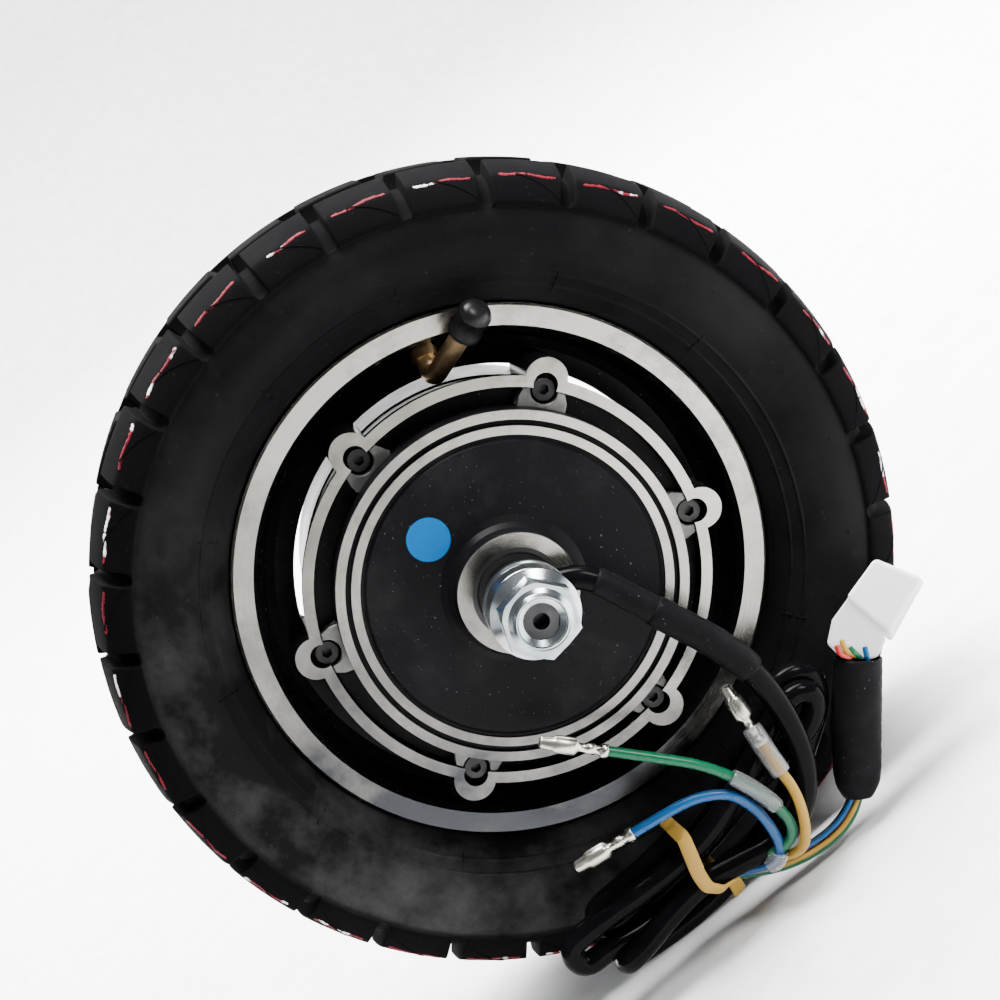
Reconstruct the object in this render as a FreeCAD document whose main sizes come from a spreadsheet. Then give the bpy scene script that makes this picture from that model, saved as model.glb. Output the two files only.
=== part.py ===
"""Hub motor wheel: a brushless outrunner motor whose spinning casing is the rim of a 255 x 80 tyre.

Frame: origin at the wheel's centre, +Y along the axle towards the blind (rear) side, +Z up.
The cable leaves on the front side (-Y).  The wheel stands on its tread, so the ground is at
Z = -tyre_radius.  "depth" below always means the distance in front of the mid-plane, -Y.
"""
import FreeCAD, Part
import math
import os

import Sketcher

V = FreeCAD.Vector
os.makedirs("parts", exist_ok=True)
doc = FreeCAD.newDocument("hub_motor_wheel")
sheet = doc.addObject("Spreadsheet::Sheet", "Dims")

# ---------------------------------------------------------------- driving dimensions (mm)
DIMENSIONS = [
    ("tyre_radius", 127.5, "255 mm over the tread"),
    ("tyre_half_width", 40.0, "80 mm section"),
    ("tyre_bead_radius", 84.6, "sidewall meets the rim flange"),
    ("shoulder_radius", 113.0, "inner end of the shoulder blocks"),
    ("block_count", 30, "tread blocks per side"),
    ("block_gap", 4.0, "gap between two blocks"),
    ("tread_groove", 5.5, "depth of the tread grooves"),
    ("rim_radius", 84.2, "rim flange, outside"),
    ("rim_face_inner", 77.3, "inner edge of the machined flange face"),
    ("rim_face_depth", 24.0, "flange face in front of the mid-plane"),
    ("barrel_radius", 76.6, "rim well, tyre side"),
    ("drum_radius", 60.0, "motor casing, outside"),
    ("drum_bore", 56.4, "motor casing, inside"),
    ("seat_radius", 59.9, "counterbore that takes the cover"),
    ("seat_depth", 27.2, "floor of that counterbore"),
    ("ring_radius", 63.3, "machined front ring of the casing"),
    ("ring_depth", 37.0, "front face of that ring"),
    ("ear_count", 6, "screw bosses"),
    ("ear_radius", 6.5, "round of a screw boss"),
    ("ear_pitch", 63.1, "boss centre from the axis"),
    ("screw_pitch", 60.0, "cover screw from the axis"),
    ("window_outer", 63.9, "web window, outer edge"),
    ("window_inner", 60.5, "web window, inner edge"),
    ("cover_depth", 45.0, "face of the cover"),
    ("cover_wall", 54.0, "outer wall of the raised cover"),
    ("boss_depth", 52.8, "front face of the bearing boss"),
    ("boss_radius", 18.5, "bearing boss, outside"),
    ("bearing_bore", 17.0, "6003 bearing bore"),
    ("bearing_outside", 35.0, "6003 bearing outside diameter"),
    ("bearing_width", 10.0, "6003 bearing width"),
    ("bearing_depth", 36.9, "inner face of each bearing"),
    ("ball_pitch", 13.0, "ball circle radius"),
    ("ball_radius", 2.35, "bearing ball"),
    ("ball_count", 10, "balls in a bearing"),
    ("seal_radius", 14.0, "oil seal, outside"),
    ("journal_radius", 8.5, "axle in the bearings"),
    ("thread_radius", 7.0, "M14 axle ends"),
    ("flat_half", 5.0, "half distance over the axle flats"),
    ("shoulder_depth", 66.0, "axle shoulder"),
    ("axle_front", 90.5, "front end of the axle"),
    ("axle_rear", 93.0, "rear end of the axle"),
    ("stator_seat", 10.0, "axle under the stator carrier"),
    ("stator_half", 15.0, "half length of the lamination stack"),
    ("stator_radius", 49.6, "lamination stack, outside"),
    ("yoke_inner", 32.0, "lamination stack, inside"),
    ("slot_root", 36.5, "bottom of the slots"),
    ("slot_count", 27, "stator slots and coils"),
    ("tooth_width", 4.6, "stator tooth"),
    ("magnet_inner", 50.4, "magnets, inside"),
    ("magnet_outer", 53.3, "magnets, outside"),
    ("magnet_count", 30, "magnet poles"),
    ("magnet_half", 15.0, "half length of a magnet"),
    ("nut_flats", 21.0, "axle nut across flats"),
    ("nut_flange", 13.3, "axle nut flange radius"),
    ("nut_end", 93.0, "front end of the axle nut"),
    ("valve_angle", 71.0, "valve hole, degrees up from +X"),
    ("valve_radius", 3.2, "brass stem"),
    ("cap_radius", 5.0, "valve cap"),
    ("cap_length", 12.0, "valve cap, end to end"),
    ("cable_radius", 3.75, "cable sheath"),
    ("phase_radius", 1.6, "phase wire"),
    ("hall_radius", 0.8, "hall sensor wire"),
]


class Size:
    """A length that carries its value and the sheet expression that gives it."""

    def __init__(self, value, text):
        self.value = float(value)
        self.text = text

    @staticmethod
    def of(other):
        return other if isinstance(other, Size) else Size(other, repr(float(other)))

    def __add__(self, other):
        other = Size.of(other)
        return Size(self.value + other.value, f"({self.text} + {other.text})")

    def __sub__(self, other):
        other = Size.of(other)
        return Size(self.value - other.value, f"({self.text} - {other.text})")

    def __mul__(self, factor):
        return Size(self.value * factor, f"({self.text} * {factor!r})")

    def __neg__(self):
        return self * -1.0

    def __float__(self):
        return self.value


class Dimensions:
    """The sheet's cells by name, each as a Size."""


d = Dimensions()
for row, (word, number, note) in enumerate(DIMENSIONS, start=1):
    sheet.set(f"A{row}", word)
    sheet.set(f"B{row}", str(number))
    sheet.set(f"C{row}", note)
    sheet.setAlias(f"B{row}", word)
    setattr(d, word, Size(number, f"Dims.{word}"))
doc.recompute()

nodes = []


def keep(obj, label):
    """Names a finished sub-part after its file."""
    obj.Label = label
    nodes.append(obj)
    return obj


def bind(obj, **sizes):
    """Ties properties of an object to the sheet."""
    for name, size in sizes.items():
        if isinstance(size, Size):
            obj.setExpression(name, size.text)
        else:
            setattr(obj, name, size)


def on_circle(radius, degrees):
    """The point of a front view at a radius and an angle up from +X."""
    turn = math.radians(degrees)
    return radius * math.cos(turn), radius * math.sin(turn)


# ---------------------------------------------------------------- sketch and body helpers
def new_body(name):
    body = doc.addObject("PartDesign::Body", name)
    body.AllowCompound = True
    return body


def origin_feature(body, role):
    return [item for item in body.Origin.OriginFeatures if item.Role == role][0]


def new_sketch(body, name, role, depth=None):
    """A sketch on an origin plane; on XZ_Plane, depth moves it in front of the mid-plane."""
    sketch = body.newObject("Sketcher::SketchObject", name)
    sketch.AttachmentSupport = [(origin_feature(body, role), "")]
    sketch.MapMode = "FlatFace"
    if depth is not None:
        sketch.AttachmentOffset = FreeCAD.Placement(V(0, 0, float(depth)), FreeCAD.Rotation())
        if isinstance(depth, Size):
            sketch.setExpression(".AttachmentOffset.Base.z", depth.text)
    return sketch


def tie(sketch, kind, geometry, vertex, size):
    """Fixes one coordinate of a sketch vertex, from the sheet where it is a Size."""
    value = float(size)
    if abs(value) < 1e-9:
        axis = -2 if kind == "DistanceX" else -1
        sketch.addConstraint(Sketcher.Constraint("PointOnObject", geometry, vertex, axis))
        return
    index = sketch.addConstraint(Sketcher.Constraint(kind, -1, 1, geometry, vertex, value))
    if isinstance(size, Size):
        sketch.setExpression(f"Constraints[{index}]", size.text)


def arc_between(start, end, radius):
    """An arc from start to end, bulging to the right of the way for a radius above zero."""
    middle = (start + end) * 0.5
    half = (end - start).Length / 2
    side = V(start.y - end.y, end.x - start.x, 0).normalize()
    centre = middle + side * (math.copysign(math.sqrt(max(radius**2 - half**2, 0.0)), radius))
    first, last = (start, end) if radius > 0 else (end, start)
    angles = [math.atan2(point.y - centre.y, point.x - centre.x) for point in (first, last)]
    if angles[1] < angles[0]:
        angles[1] += 2 * math.pi
    circle = Part.Circle(centre, V(0, 0, 1), abs(radius))
    return Part.ArcOfCircle(circle, angles[0], angles[1])


def draw(sketch, corners):
    """A closed outline.  A corner is (u, v) or (u, v, radius of the arc that follows it)."""
    points = [V(float(corner[0]), float(corner[1]), 0) for corner in corners]
    ends = []
    for place, corner in enumerate(corners):
        start, end = points[place], points[(place + 1) % len(points)]
        if len(corner) == 3:
            radius = float(corner[2])
            edge = sketch.addGeometry(arc_between(start, end, radius))
            ends.append((edge, 1, 2) if radius > 0 else (edge, 2, 1))
        else:
            edge = sketch.addGeometry(Part.LineSegment(start, end))
            ends.append((edge, 1, 2))
    for place, (edge, head, tail) in enumerate(ends):
        after, after_head, _ = ends[(place + 1) % len(ends)]
        sketch.addConstraint(Sketcher.Constraint("Coincident", edge, tail, after, after_head))
        tie(sketch, "DistanceX", edge, head, corners[place][0])
        tie(sketch, "DistanceY", edge, head, corners[place][1])
        if len(corners[place]) == 3:
            size = corners[place][2]
            index = sketch.addConstraint(Sketcher.Constraint("Radius", edge, abs(float(size))))
            if isinstance(size, Size):
                text = size.text if float(size) > 0 else (-size).text
                sketch.setExpression(f"Constraints[{index}]", text)


def draw_circle(sketch, u, v, radius):
    circle = Part.Circle(V(float(u), float(v), 0), V(0, 0, 1), float(radius))
    edge = sketch.addGeometry(circle)
    tie(sketch, "DistanceX", edge, 3, u)
    tie(sketch, "DistanceY", edge, 3, v)
    index = sketch.addConstraint(Sketcher.Constraint("Radius", edge, float(radius)))
    if isinstance(radius, Size):
        sketch.setExpression(f"Constraints[{index}]", radius.text)


def front(corners):
    """Turns (radius, depth) corners into sketch corners on the XY plane."""
    return [(corner[0], -corner[1] if isinstance(corner[1], Size) else -float(corner[1]))
            for corner in corners]


def revolve(body, name, corners, cut=False):
    """Turns a (radius, depth) outline about the axle line."""
    sketch = new_sketch(body, name + "_outline", "XY_Plane")
    draw(sketch, front(corners))
    kind = "PartDesign::Groove" if cut else "PartDesign::Revolution"
    feature = body.newObject(kind, name)
    feature.Profile = sketch
    feature.ReferenceAxis = (sketch, ["V_Axis"])
    feature.Angle = 360
    body.Tip = feature
    return feature


def extrude(body, sketch, name, length, cut=False, backwards=False):
    """Pads a sketch forwards (-Y) or pockets it backwards (+Y), unless told the other way."""
    kind = "PartDesign::Pocket" if cut else "PartDesign::Pad"
    feature = body.newObject(kind, name)
    feature.Profile = sketch
    feature.Length = float(length)
    if isinstance(length, Size):
        feature.setExpression("Length", length.text)
    feature.Reversed = backwards
    body.Tip = feature
    return feature


def repeat(body, feature, count):
    """Repeats a feature evenly around the axle line."""
    pattern = body.newObject("PartDesign::PolarPattern", feature.Name + "_ring")
    pattern.Originals = [feature]
    pattern.Axis = (origin_feature(body, "Y_Axis"), [""])
    pattern.Angle = 360
    pattern.Occurrences = int(float(count))
    if isinstance(count, Size):
        pattern.setExpression("Occurrences", count.text)
    body.Tip = pattern
    return pattern


def turned(label, corners):
    """A plain turned sub-part."""
    body = new_body(label + "_body")
    revolve(body, label + "_turning", corners)
    return keep(body, label)


def ring_corners(inner, outer, low, high):
    return [(inner, low), (outer, low), (outer, high), (inner, high)]


def cylinder(name, radius, length, at, direction):
    """A Part::Cylinder that starts at a point and runs in a direction."""
    solid = doc.addObject("Part::Cylinder", name)
    bind(solid, Radius=radius, Height=length)
    turn = FreeCAD.Rotation(V(0, 0, 1), direction)
    solid.Placement = FreeCAD.Placement(at, turn)
    return solid


def cut(name, base, tool):
    result = doc.addObject("Part::Cut", name)
    result.Base = base
    result.Tool = tool
    return result


def fuse(name, shapes):
    result = doc.addObject("Part::MultiFuse", name)
    result.Shapes = shapes
    return result


def feature_from(label, shape, placement=None):
    """A Part::Feature for a shape that has no sketch or primitive of its own."""
    item = doc.addObject("Part::Feature", label + "_shape")
    item.Shape = shape
    item.Placement = placement or FreeCAD.Placement()
    return keep(item, label)


# ---------------------------------------------------------------- axle group
def build_axle():
    """Stepped M14 axle with flats, centre holes, key slot and a slanting cable bore."""
    body = new_body("axle_turned")
    chamfer = 1.3
    seat_end = d.stator_half + 5
    revolve(body, "axle_turning", [
        (0, -d.axle_rear), (d.thread_radius - chamfer, -d.axle_rear),
        (d.thread_radius, -(d.axle_rear - chamfer)), (d.thread_radius, -d.shoulder_depth),
        (d.journal_radius, -d.shoulder_depth), (d.journal_radius, -seat_end),
        (d.stator_seat, -seat_end), (d.stator_seat, seat_end),
        (d.journal_radius, seat_end), (d.journal_radius, d.shoulder_depth),
        (d.thread_radius, d.shoulder_depth), (d.thread_radius, d.axle_front - chamfer),
        (d.thread_radius - chamfer, d.axle_front), (0, d.axle_front)])
    flat_reach = 12.0
    front_flats = new_sketch(body, "front_flat", "XZ_Plane", d.axle_front + 1)
    draw(front_flats, flat_outline(flat_reach))
    flat = extrude(body, front_flats, "front_flat_cut", d.axle_front - d.shoulder_depth - 1, cut=True)
    repeat(body, flat, 2)
    rear_flats = new_sketch(body, "rear_flat", "XZ_Plane", -(d.shoulder_depth + 2))
    draw(rear_flats, flat_outline(flat_reach))
    flat = extrude(body, rear_flats, "rear_flat_cut", 13.0, cut=True)
    repeat(body, flat, 2)
    centre_radius, centre_length = 2.45, 7.0
    for side, depth in (("front", d.axle_front), ("rear", -d.axle_rear)):
        hole = new_sketch(body, side + "_centre", "XZ_Plane", depth)
        draw_circle(hole, 0, 0, centre_radius)
        extrude(body, hole, side + "_centre_hole", centre_length, cut=True,
                backwards=(side == "rear"))
    slot = new_sketch(body, "key_slot", "XZ_Plane", d.stator_half - 4)
    draw(slot, [(-2.5, 7.0), (2.5, 7.0), (2.5, 11.0), (-2.5, 11.0)])
    extrude(body, slot, "key_slot_cut", 16.0, cut=True)
    bore_radius = 3.0
    inside, outside = V(-11.0, -20.7, 0), V(11.0, -67.3, 0)
    run = outside - inside
    bore = cylinder("cable_bore", bore_radius, run.Length, inside, run)
    return keep(cut("axle_cut", body, bore), "axle")


def flat_outline(reach):
    """One flat's waste, on the side that faces 39 degrees below +X."""
    facing = math.radians(-39.0)
    along, across = V(math.cos(facing), math.sin(facing), 0), V(-math.sin(facing), math.cos(facing), 0)
    corners = []
    for out, side in ((0, -1), (1, -1), (1, 1), (0, 1)):
        distance = d.flat_half + 6.0 * out
        corners.append((distance * along.x + side * reach * across.x,
                        distance * along.y + side * reach * across.y))
    return corners


def build_stator():
    """Key, spoked carrier, slotted laminations, coils and the hall sensor board."""
    key = doc.addObject("Part::Box", "key_box")
    bind(key, Length=4.96, Width=16.0, Height=4.4)
    key.Placement = FreeCAD.Placement(V(-2.48, -11.0, 7.05), FreeCAD.Rotation())
    keep(key, "stator_key")

    carrier = new_body("stator_carrier_body")
    revolve(carrier, "carrier_turning", [
        (d.stator_seat, -12), (d.stator_seat + 7, -12), (d.stator_seat + 7, -5),
        (d.yoke_inner - 4, -5), (d.yoke_inner - 4, -13), (d.yoke_inner, -13),
        (d.yoke_inner, 13), (d.yoke_inner - 4, 13), (d.yoke_inner - 4, 5),
        (d.stator_seat + 7, 5), (d.stator_seat + 7, 12), (d.stator_seat, 12)])
    keyway = new_sketch(carrier, "carrier_keyway", "XZ_Plane", 13)
    draw(keyway, [(-2.5, 9.0), (2.5, 9.0), (2.5, 11.6), (-2.5, 11.6)])
    extrude(carrier, keyway, "carrier_keyway_cut", 26.0, cut=True)
    hole = new_sketch(carrier, "carrier_hole", "XZ_Plane", 13)
    draw_circle(hole, d.stator_seat + 12.5, 0, 4.0)
    repeat(carrier, extrude(carrier, hole, "carrier_hole_cut", 26.0, cut=True), 6)
    keep(carrier, "stator_carrier")

    core = new_body("stator_core_body")
    revolve(core, "core_turning", ring_corners(d.yoke_inner, d.stator_radius,
                                               -d.stator_half, d.stator_half))
    slot = new_sketch(core, "core_slot", "XZ_Plane", d.stator_half + 1)
    pitch = math.pi / float(d.slot_count)
    opening, tip = 1.0, d.stator_radius - 2.0
    half_root = d.slot_root * math.tan(pitch) - d.tooth_width * 0.5
    half_tip = tip * math.tan(pitch) - d.tooth_width * 0.5
    draw(slot, [(-half_root, d.slot_root), (half_root, d.slot_root), (half_tip, tip),
                (opening, tip + 0.7), (opening, tip + 3.0), (-opening, tip + 3.0),
                (-opening, tip + 0.7), (-half_tip, tip)])
    cut_slot = extrude(core, slot, "core_slot_cut", d.stator_half * 2.0 + 2.0, cut=True)
    repeat(core, cut_slot, d.slot_count)
    keep(core, "stator_core")

    build_windings(pitch)

    board = new_body("hall_board_body")
    arc_half = 62.0
    sketch = new_sketch(board, "hall_board_outline", "XZ_Plane", 21.4)
    sector(sketch, 34.0, 45.0, 90.0, arc_half)
    extrude(board, sketch, "hall_board_pad", 1.2)
    keep(board, "hall_board")
    sensors = new_body("hall_sensors_body")
    sketch = new_sketch(sensors, "hall_sensor_outline", "XZ_Plane", 15.6)
    for degrees in (50.0, 90.0, 130.0):
        patch(sketch, 47.6, degrees, 1.5, 0.75)
    extrude(sensors, sketch, "hall_sensor_pad", 5.0)
    keep(sensors, "hall_sensors")


def patch(sketch, radius, degrees, half_width, half_height):
    """A small rectangle, square to the radius, at a place on a circle."""
    turn = math.radians(degrees)
    out, side = V(math.cos(turn), math.sin(turn), 0), V(-math.sin(turn), math.cos(turn), 0)
    corners = []
    for along, across in ((-1, -1), (1, -1), (1, 1), (-1, 1)):
        point = out * (radius + along * half_height) + side * (across * half_width)
        corners.append((point.x, point.y))
    draw(sketch, corners)


def sector(sketch, inner, outer, middle, half, caps=False):
    """A slice of a flat ring about a middle angle, with square or round ends."""
    inner, outer = Size.of(inner), Size.of(outer)
    first, last = middle - half, middle + half
    cap = ((outer - inner) * 0.501,) if caps else ()
    draw(sketch, [
        on_circle(outer, first) + (outer,), on_circle(outer, last) + cap,
        on_circle(inner, last) + (-inner,), on_circle(inner, first) + cap])


def build_windings(pitch):
    """One coil round each tooth: a frame that is open where the tooth passes through."""
    coils = new_body("stator_windings_body")
    inner, outer = d.slot_root + 1.2, d.stator_radius - 3.2
    tooth_angle = 90.0 + math.degrees(pitch)
    turn = math.radians(tooth_angle)
    out, side = V(math.cos(turn), math.sin(turn), 0), V(-math.sin(turn), math.cos(turn), 0)

    def frame(sketch, low, high, half_width):
        corners = []
        for radius, across in ((low, -1), (high, -1), (high, 1), (low, 1)):
            corners.append((radius * out.x + half_width * (side.x * across),
                            radius * out.y + half_width * (side.y * across)))
        draw(sketch, corners)

    overhang, clear = 4.2, 0.25
    outline = new_sketch(coils, "coil_outline", "XZ_Plane", -(d.stator_half + overhang))
    frame(outline, inner, outer, d.tooth_width * 0.5 + 1.75)
    coil = extrude(coils, outline, "coil_pad", (d.stator_half + overhang) * 2.0)
    hollow = new_sketch(coils, "coil_hollow", "XZ_Plane", d.stator_half + clear)
    frame(hollow, inner - 1, outer + 1, d.tooth_width * 0.5 + 0.15)
    opening = extrude(coils, hollow, "coil_hollow_cut", (d.stator_half + clear) * 2.0, cut=True)
    pattern = coils.newObject("PartDesign::PolarPattern", "coil_ring")
    pattern.Originals = [coil, opening]
    pattern.Axis = (origin_feature(coils, "Y_Axis"), [""])
    pattern.Angle = 360
    pattern.Occurrences = int(float(d.slot_count))
    pattern.setExpression("Occurrences", d.slot_count.text)
    coils.Tip = pattern
    keep(coils, "stator_windings")


def build_bearing(side, sign):
    """A 6003 ball bearing: two grooved rings, a cage and the balls."""
    near, far = d.bearing_depth, d.bearing_depth + d.bearing_width
    low, high = (near, far) if sign > 0 else (-far, -near)
    middle = (low + high) * 0.5
    groove = doc.addObject("Part::Torus", side + "_groove")
    bind(groove, Radius1=d.ball_pitch, Radius2=d.ball_radius + 0.05)
    groove.Placement = FreeCAD.Placement(V(0, -float(middle), 0),
                                         FreeCAD.Rotation(V(1, 0, 0), 90))
    outside = d.bearing_outside * 0.5
    rings = {"inner": (d.bearing_bore * 0.5, d.ball_pitch - 1.9),
             "outer": (d.ball_pitch + 1.9, outside)}
    for name, (inner_radius, outer_radius) in rings.items():
        ring = new_body(f"{side}_{name}_ring")
        revolve(ring, f"{side}_{name}_turning", ring_corners(inner_radius, outer_radius, low, high))
        keep(cut(f"{side}_{name}_cut", ring, groove), f"{side}_bearing_{name}")

    cage = new_body(side + "_cage")
    revolve(cage, side + "_cage_turning",
            ring_corners(d.ball_pitch - 1.0, d.ball_pitch + 1.0, middle - 3.2, middle + 3.2))
    count = int(float(d.ball_count))
    balls, pockets = [], []
    for place in range(count):
        u, v = on_circle(1.0, 90.0 + 360.0 * place / count)
        outward = V(u, 0, v)
        centre = outward * float(d.ball_pitch) + V(0, -float(middle), 0)
        ball = doc.addObject("Part::Sphere", f"{side}_ball_{place}")
        bind(ball, Radius=d.ball_radius)
        ball.Placement = FreeCAD.Placement(centre, FreeCAD.Rotation())
        balls.append(ball)
        pockets.append(cylinder(f"{side}_pocket_{place}", d.ball_radius + 0.15, 6.0,
                                centre - outward * 3.0, outward))
    holes = doc.addObject("Part::Compound", side + "_pockets")
    holes.Links = pockets
    keep(cut(side + "_cage_cut", cage, holes), side + "_bearing_cage")
    group = doc.addObject("Part::Compound", side + "_balls")
    group.Links = balls
    keep(group, side + "_bearing_balls")


def build_axle_hardware():
    """Washers and flanged lock nuts on both axle ends."""
    bore = d.thread_radius + 0.15
    turned("front_washer", ring_corners(bore, 13.2, d.shoulder_depth + 1.4, d.shoulder_depth + 3.4))
    turned("front_lock_washer", [
        (bore, 69.5), (12.4, 69.5), (12.9, 70.6), (12.9, 71.4), (12.4, 72.4), (bore, 72.4)])
    turned("front_spacer", [
        (bore, 72.5), (12.9, 72.5), (13.2, 73.1), (13.2, 79.6), (12.8, 80.3), (bore, 80.3)])
    build_nut("front_nut", 1, 80.4, float(d.nut_end))
    turned("rear_washer", ring_corners(bore, 13.2, -(d.shoulder_depth + 3.4), -(d.shoulder_depth + 1.4)))
    build_nut("rear_nut", -1, 69.5, 81.5)


def build_nut(label, sign, start, end):
    """A hexagon lock nut with a flange at its foot and a plain collar at its end."""
    flange_height, collar_height = 3.2, 3.0
    collar_radius = 8.25
    bore = float(d.thread_radius) + 0.02
    across = float(d.nut_flats) / 2
    foot, top = start + flange_height, end - collar_height
    skirt = [(bore, start), (d.nut_flange, start), (d.nut_flange, start + 1.2),
             (across + 0.2, foot), (across + 0.2, foot + 0.2), (bore, foot + 0.2)]
    collar = [(bore, top - 0.2), (collar_radius + 1.2, top - 0.2), (collar_radius + 1.2, top),
              (collar_radius, top + 0.8), (collar_radius, end - 0.6), (collar_radius - 0.6, end),
              (collar_radius - 1.0, end), (bore, end - 0.9)]
    body = new_body(label + "_body")
    flip = [[(radius, sign * depth) for radius, depth in part] if sign > 0 else
            [(radius, -depth) for radius, depth in part] for part in (skirt, collar)]
    revolve(body, label + "_skirt", flip[0])
    low = foot if sign > 0 else -top
    sketch = new_sketch(body, label + "_hexagon", "XZ_Plane", low)
    corner = d.nut_flats * (0.5 / math.cos(math.pi / 6))
    first_corner = 10.0
    draw(sketch, [on_circle(corner, first_corner + 60.0 * place) for place in range(6)])
    extrude(body, sketch, label + "_prism", top - foot)
    revolve(body, label + "_collar", flip[1])
    relief = [(0, start - 1), (bore, start - 1), (bore, end + 1), (0, end + 1)]
    revolve(body, label + "_bore", [(radius, sign * depth) for radius, depth in relief], cut=True)
    chamfer = [(across + 0.55, top), (across + 3.0, top - 1.4), (across + 3.0, top + 1.0),
               (across + 0.55, top + 1.0)]
    revolve(body, label + "_chamfer", [(radius, sign * depth) for radius, depth in chamfer], cut=True)
    return keep(body, label)


# ---------------------------------------------------------------- wheel group
def build_casting():
    """Rim, web and motor drum in one casting, with six screw bosses and six arc windows."""
    body = new_body("hub_casting_body")
    face, lip = d.rim_face_depth, d.rim_face_depth + 0.4
    side = d.rim_face_depth - 3.2
    near, far = d.bearing_depth - 0.1, d.bearing_depth + d.bearing_width + 0.1
    bore = d.bearing_outside * 0.5
    revolve(body, "casting_turning", [
        (d.ring_radius, d.ring_depth), (d.ring_radius, d.ring_depth - 3.5),
        (d.drum_radius, d.ring_depth - 4.5), (d.drum_radius, 6.5), (64.5, 5.8), (70.0, 6.4),
        (73.0, 9.0), (74.6, 14.0), (75.8, 20.0), (d.rim_face_inner, face), (83.4, lip),
        (d.rim_radius, face - 0.4), (d.rim_radius, side), (80.6, side - 0.9), (78.0, 17.0),
        (77.8, 12.0), (d.barrel_radius, 8.0), (d.barrel_radius, -8.0), (77.8, -12.0),
        (78.0, -17.0), (80.6, -(side - 0.9)), (d.rim_radius, -side), (d.rim_radius, -(face - 0.4)),
        (83.4, -lip), (d.rim_face_inner, -face), (75.8, -20.0), (74.0, -8.0), (72.0, -3.5),
        (64.5, -1.5), (d.drum_radius, -1.5), (d.drum_radius, -30.0), (57.5, -33.5), (28.0, -37.5),
        (27.0, -38.0), (27.0, -44.0), (19.5, -44.0), (d.boss_radius, -46.0),
        (d.boss_radius, -d.boss_depth), (d.seal_radius, -d.boss_depth), (d.seal_radius, -far),
        (bore, -far), (bore, -near), (bore, -34.5), (22.5, -33.0), (50.0, -31.5), (54.0, -29.0),
        (d.drum_bore, -25.0), (d.drum_bore, d.seat_depth), (d.seat_radius, d.seat_depth),
        (d.seat_radius, d.ring_depth)])
    ear_angle = 41.85
    ear = new_sketch(body, "ear", "XZ_Plane", 3.0)
    draw_circle(ear, *on_circle(d.ear_pitch, ear_angle), d.ear_radius)
    repeat(body, extrude(body, ear, "ear_pad", d.ring_depth - 3.0), d.ear_count)
    revolve(body, "seat_cut", ring_corners(50.0, d.seat_radius, d.seat_depth, d.ring_depth + 1),
            cut=True)
    pocket = new_sketch(body, "ear_pocket", "XZ_Plane", d.ring_depth + 1)
    draw_circle(pocket, *on_circle(d.screw_pitch + 1.2, ear_angle), 3.75)
    repeat(body, extrude(body, pocket, "ear_pocket_cut", d.ring_depth - d.seat_depth + 1, cut=True),
           d.ear_count)
    tapped = new_sketch(body, "screw_hole", "XZ_Plane", d.seat_depth + 0.5)
    draw_circle(tapped, *on_circle(d.screw_pitch - 0.4, ear_angle), 2.05)
    repeat(body, extrude(body, tapped, "screw_hole_cut", 13.5, cut=True), d.ear_count)
    window = new_sketch(body, "window", "XZ_Plane", 8.0)
    sector(window, d.window_inner, d.window_outer, ear_angle + 30.0, 24.0, caps=True)
    repeat(body, extrude(body, window, "window_cut", 12.0, cut=True), d.ear_count)
    brake = new_sketch(body, "rotor_hole", "XZ_Plane", -45.0)
    draw_circle(brake, *on_circle(22.0, 10.0), 2.1)
    repeat(body, extrude(body, brake, "rotor_hole_cut", 8.6, cut=True, backwards=True), 6)
    tip = new_sketch(body, "rotor_hole_tip", "XZ_Plane", -36.6)
    draw_circle(tip, *on_circle(22.0, 10.0), 1.75)
    repeat(body, extrude(body, tip, "rotor_hole_tip_cut", 1.0, cut=True, backwards=True), 6)
    hole = valve_leg()
    drill = cylinder("valve_drill", d.valve_radius + 1.0, 16.0, hole[0] - hole[2] * 9.0, hole[2])
    return keep(cut("hub_casting_cut", body, drill), "hub_casting")


def build_cover():
    """Raised front cover with two machined rings, a bearing boss and six screw lugs."""
    body = new_body("front_cover_body")
    near, far = d.bearing_depth - 0.1, d.bearing_depth + d.bearing_width + 0.1
    bore = d.bearing_outside * 0.5
    top, under = d.cover_depth, d.cover_depth - 4.5
    floor, foot = d.seat_depth + 3.8, d.seat_depth + 0.6
    revolve(body, "cover_turning", [
        (bore, near), (22.5, near), (25.0, under), (49.0, under), (50.0, under - 1.2), (50.0, 25.5),
        (d.drum_bore - 0.15, 25.5), (d.drum_bore - 0.15, foot), (d.seat_radius - 0.3, foot),
        (d.seat_radius - 0.3, floor), (d.cover_wall, floor), (d.cover_wall, top),
        (51.1, top), (51.1, top - 1.8), (49.3, top - 1.8), (49.3, top), (46.6, top),
        (46.6, top - 0.9), (45.6, top - 0.9), (44.6, top), (22.6, top), (20.6, top + 0.9),
        (19.2, top + 2.6), (d.boss_radius, top + 4.8), (d.boss_radius, d.boss_depth),
        (d.seal_radius, d.boss_depth), (d.seal_radius, far), (bore, far)])
    ear_angle = 41.85
    lug = new_sketch(body, "lug", "XZ_Plane", foot)
    lug_shape(lug, ear_angle)
    repeat(body, extrude(body, lug, "lug_pad", 6.2), d.ear_count)
    through = new_sketch(body, "lug_hole", "XZ_Plane", d.ring_depth)
    draw_circle(through, *on_circle(d.screw_pitch - 0.4, ear_angle), 2.25)
    repeat(body, extrude(body, through, "lug_hole_cut", 12.0, cut=True), d.ear_count)
    recess = new_sketch(body, "lug_recess", "XZ_Plane", d.ring_depth)
    draw_circle(recess, *on_circle(d.screw_pitch - 0.4, ear_angle), 4.9)
    repeat(body, extrude(body, recess, "lug_recess_cut", 6.4, cut=True), d.ear_count)
    return keep(body, "front_cover")


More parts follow.
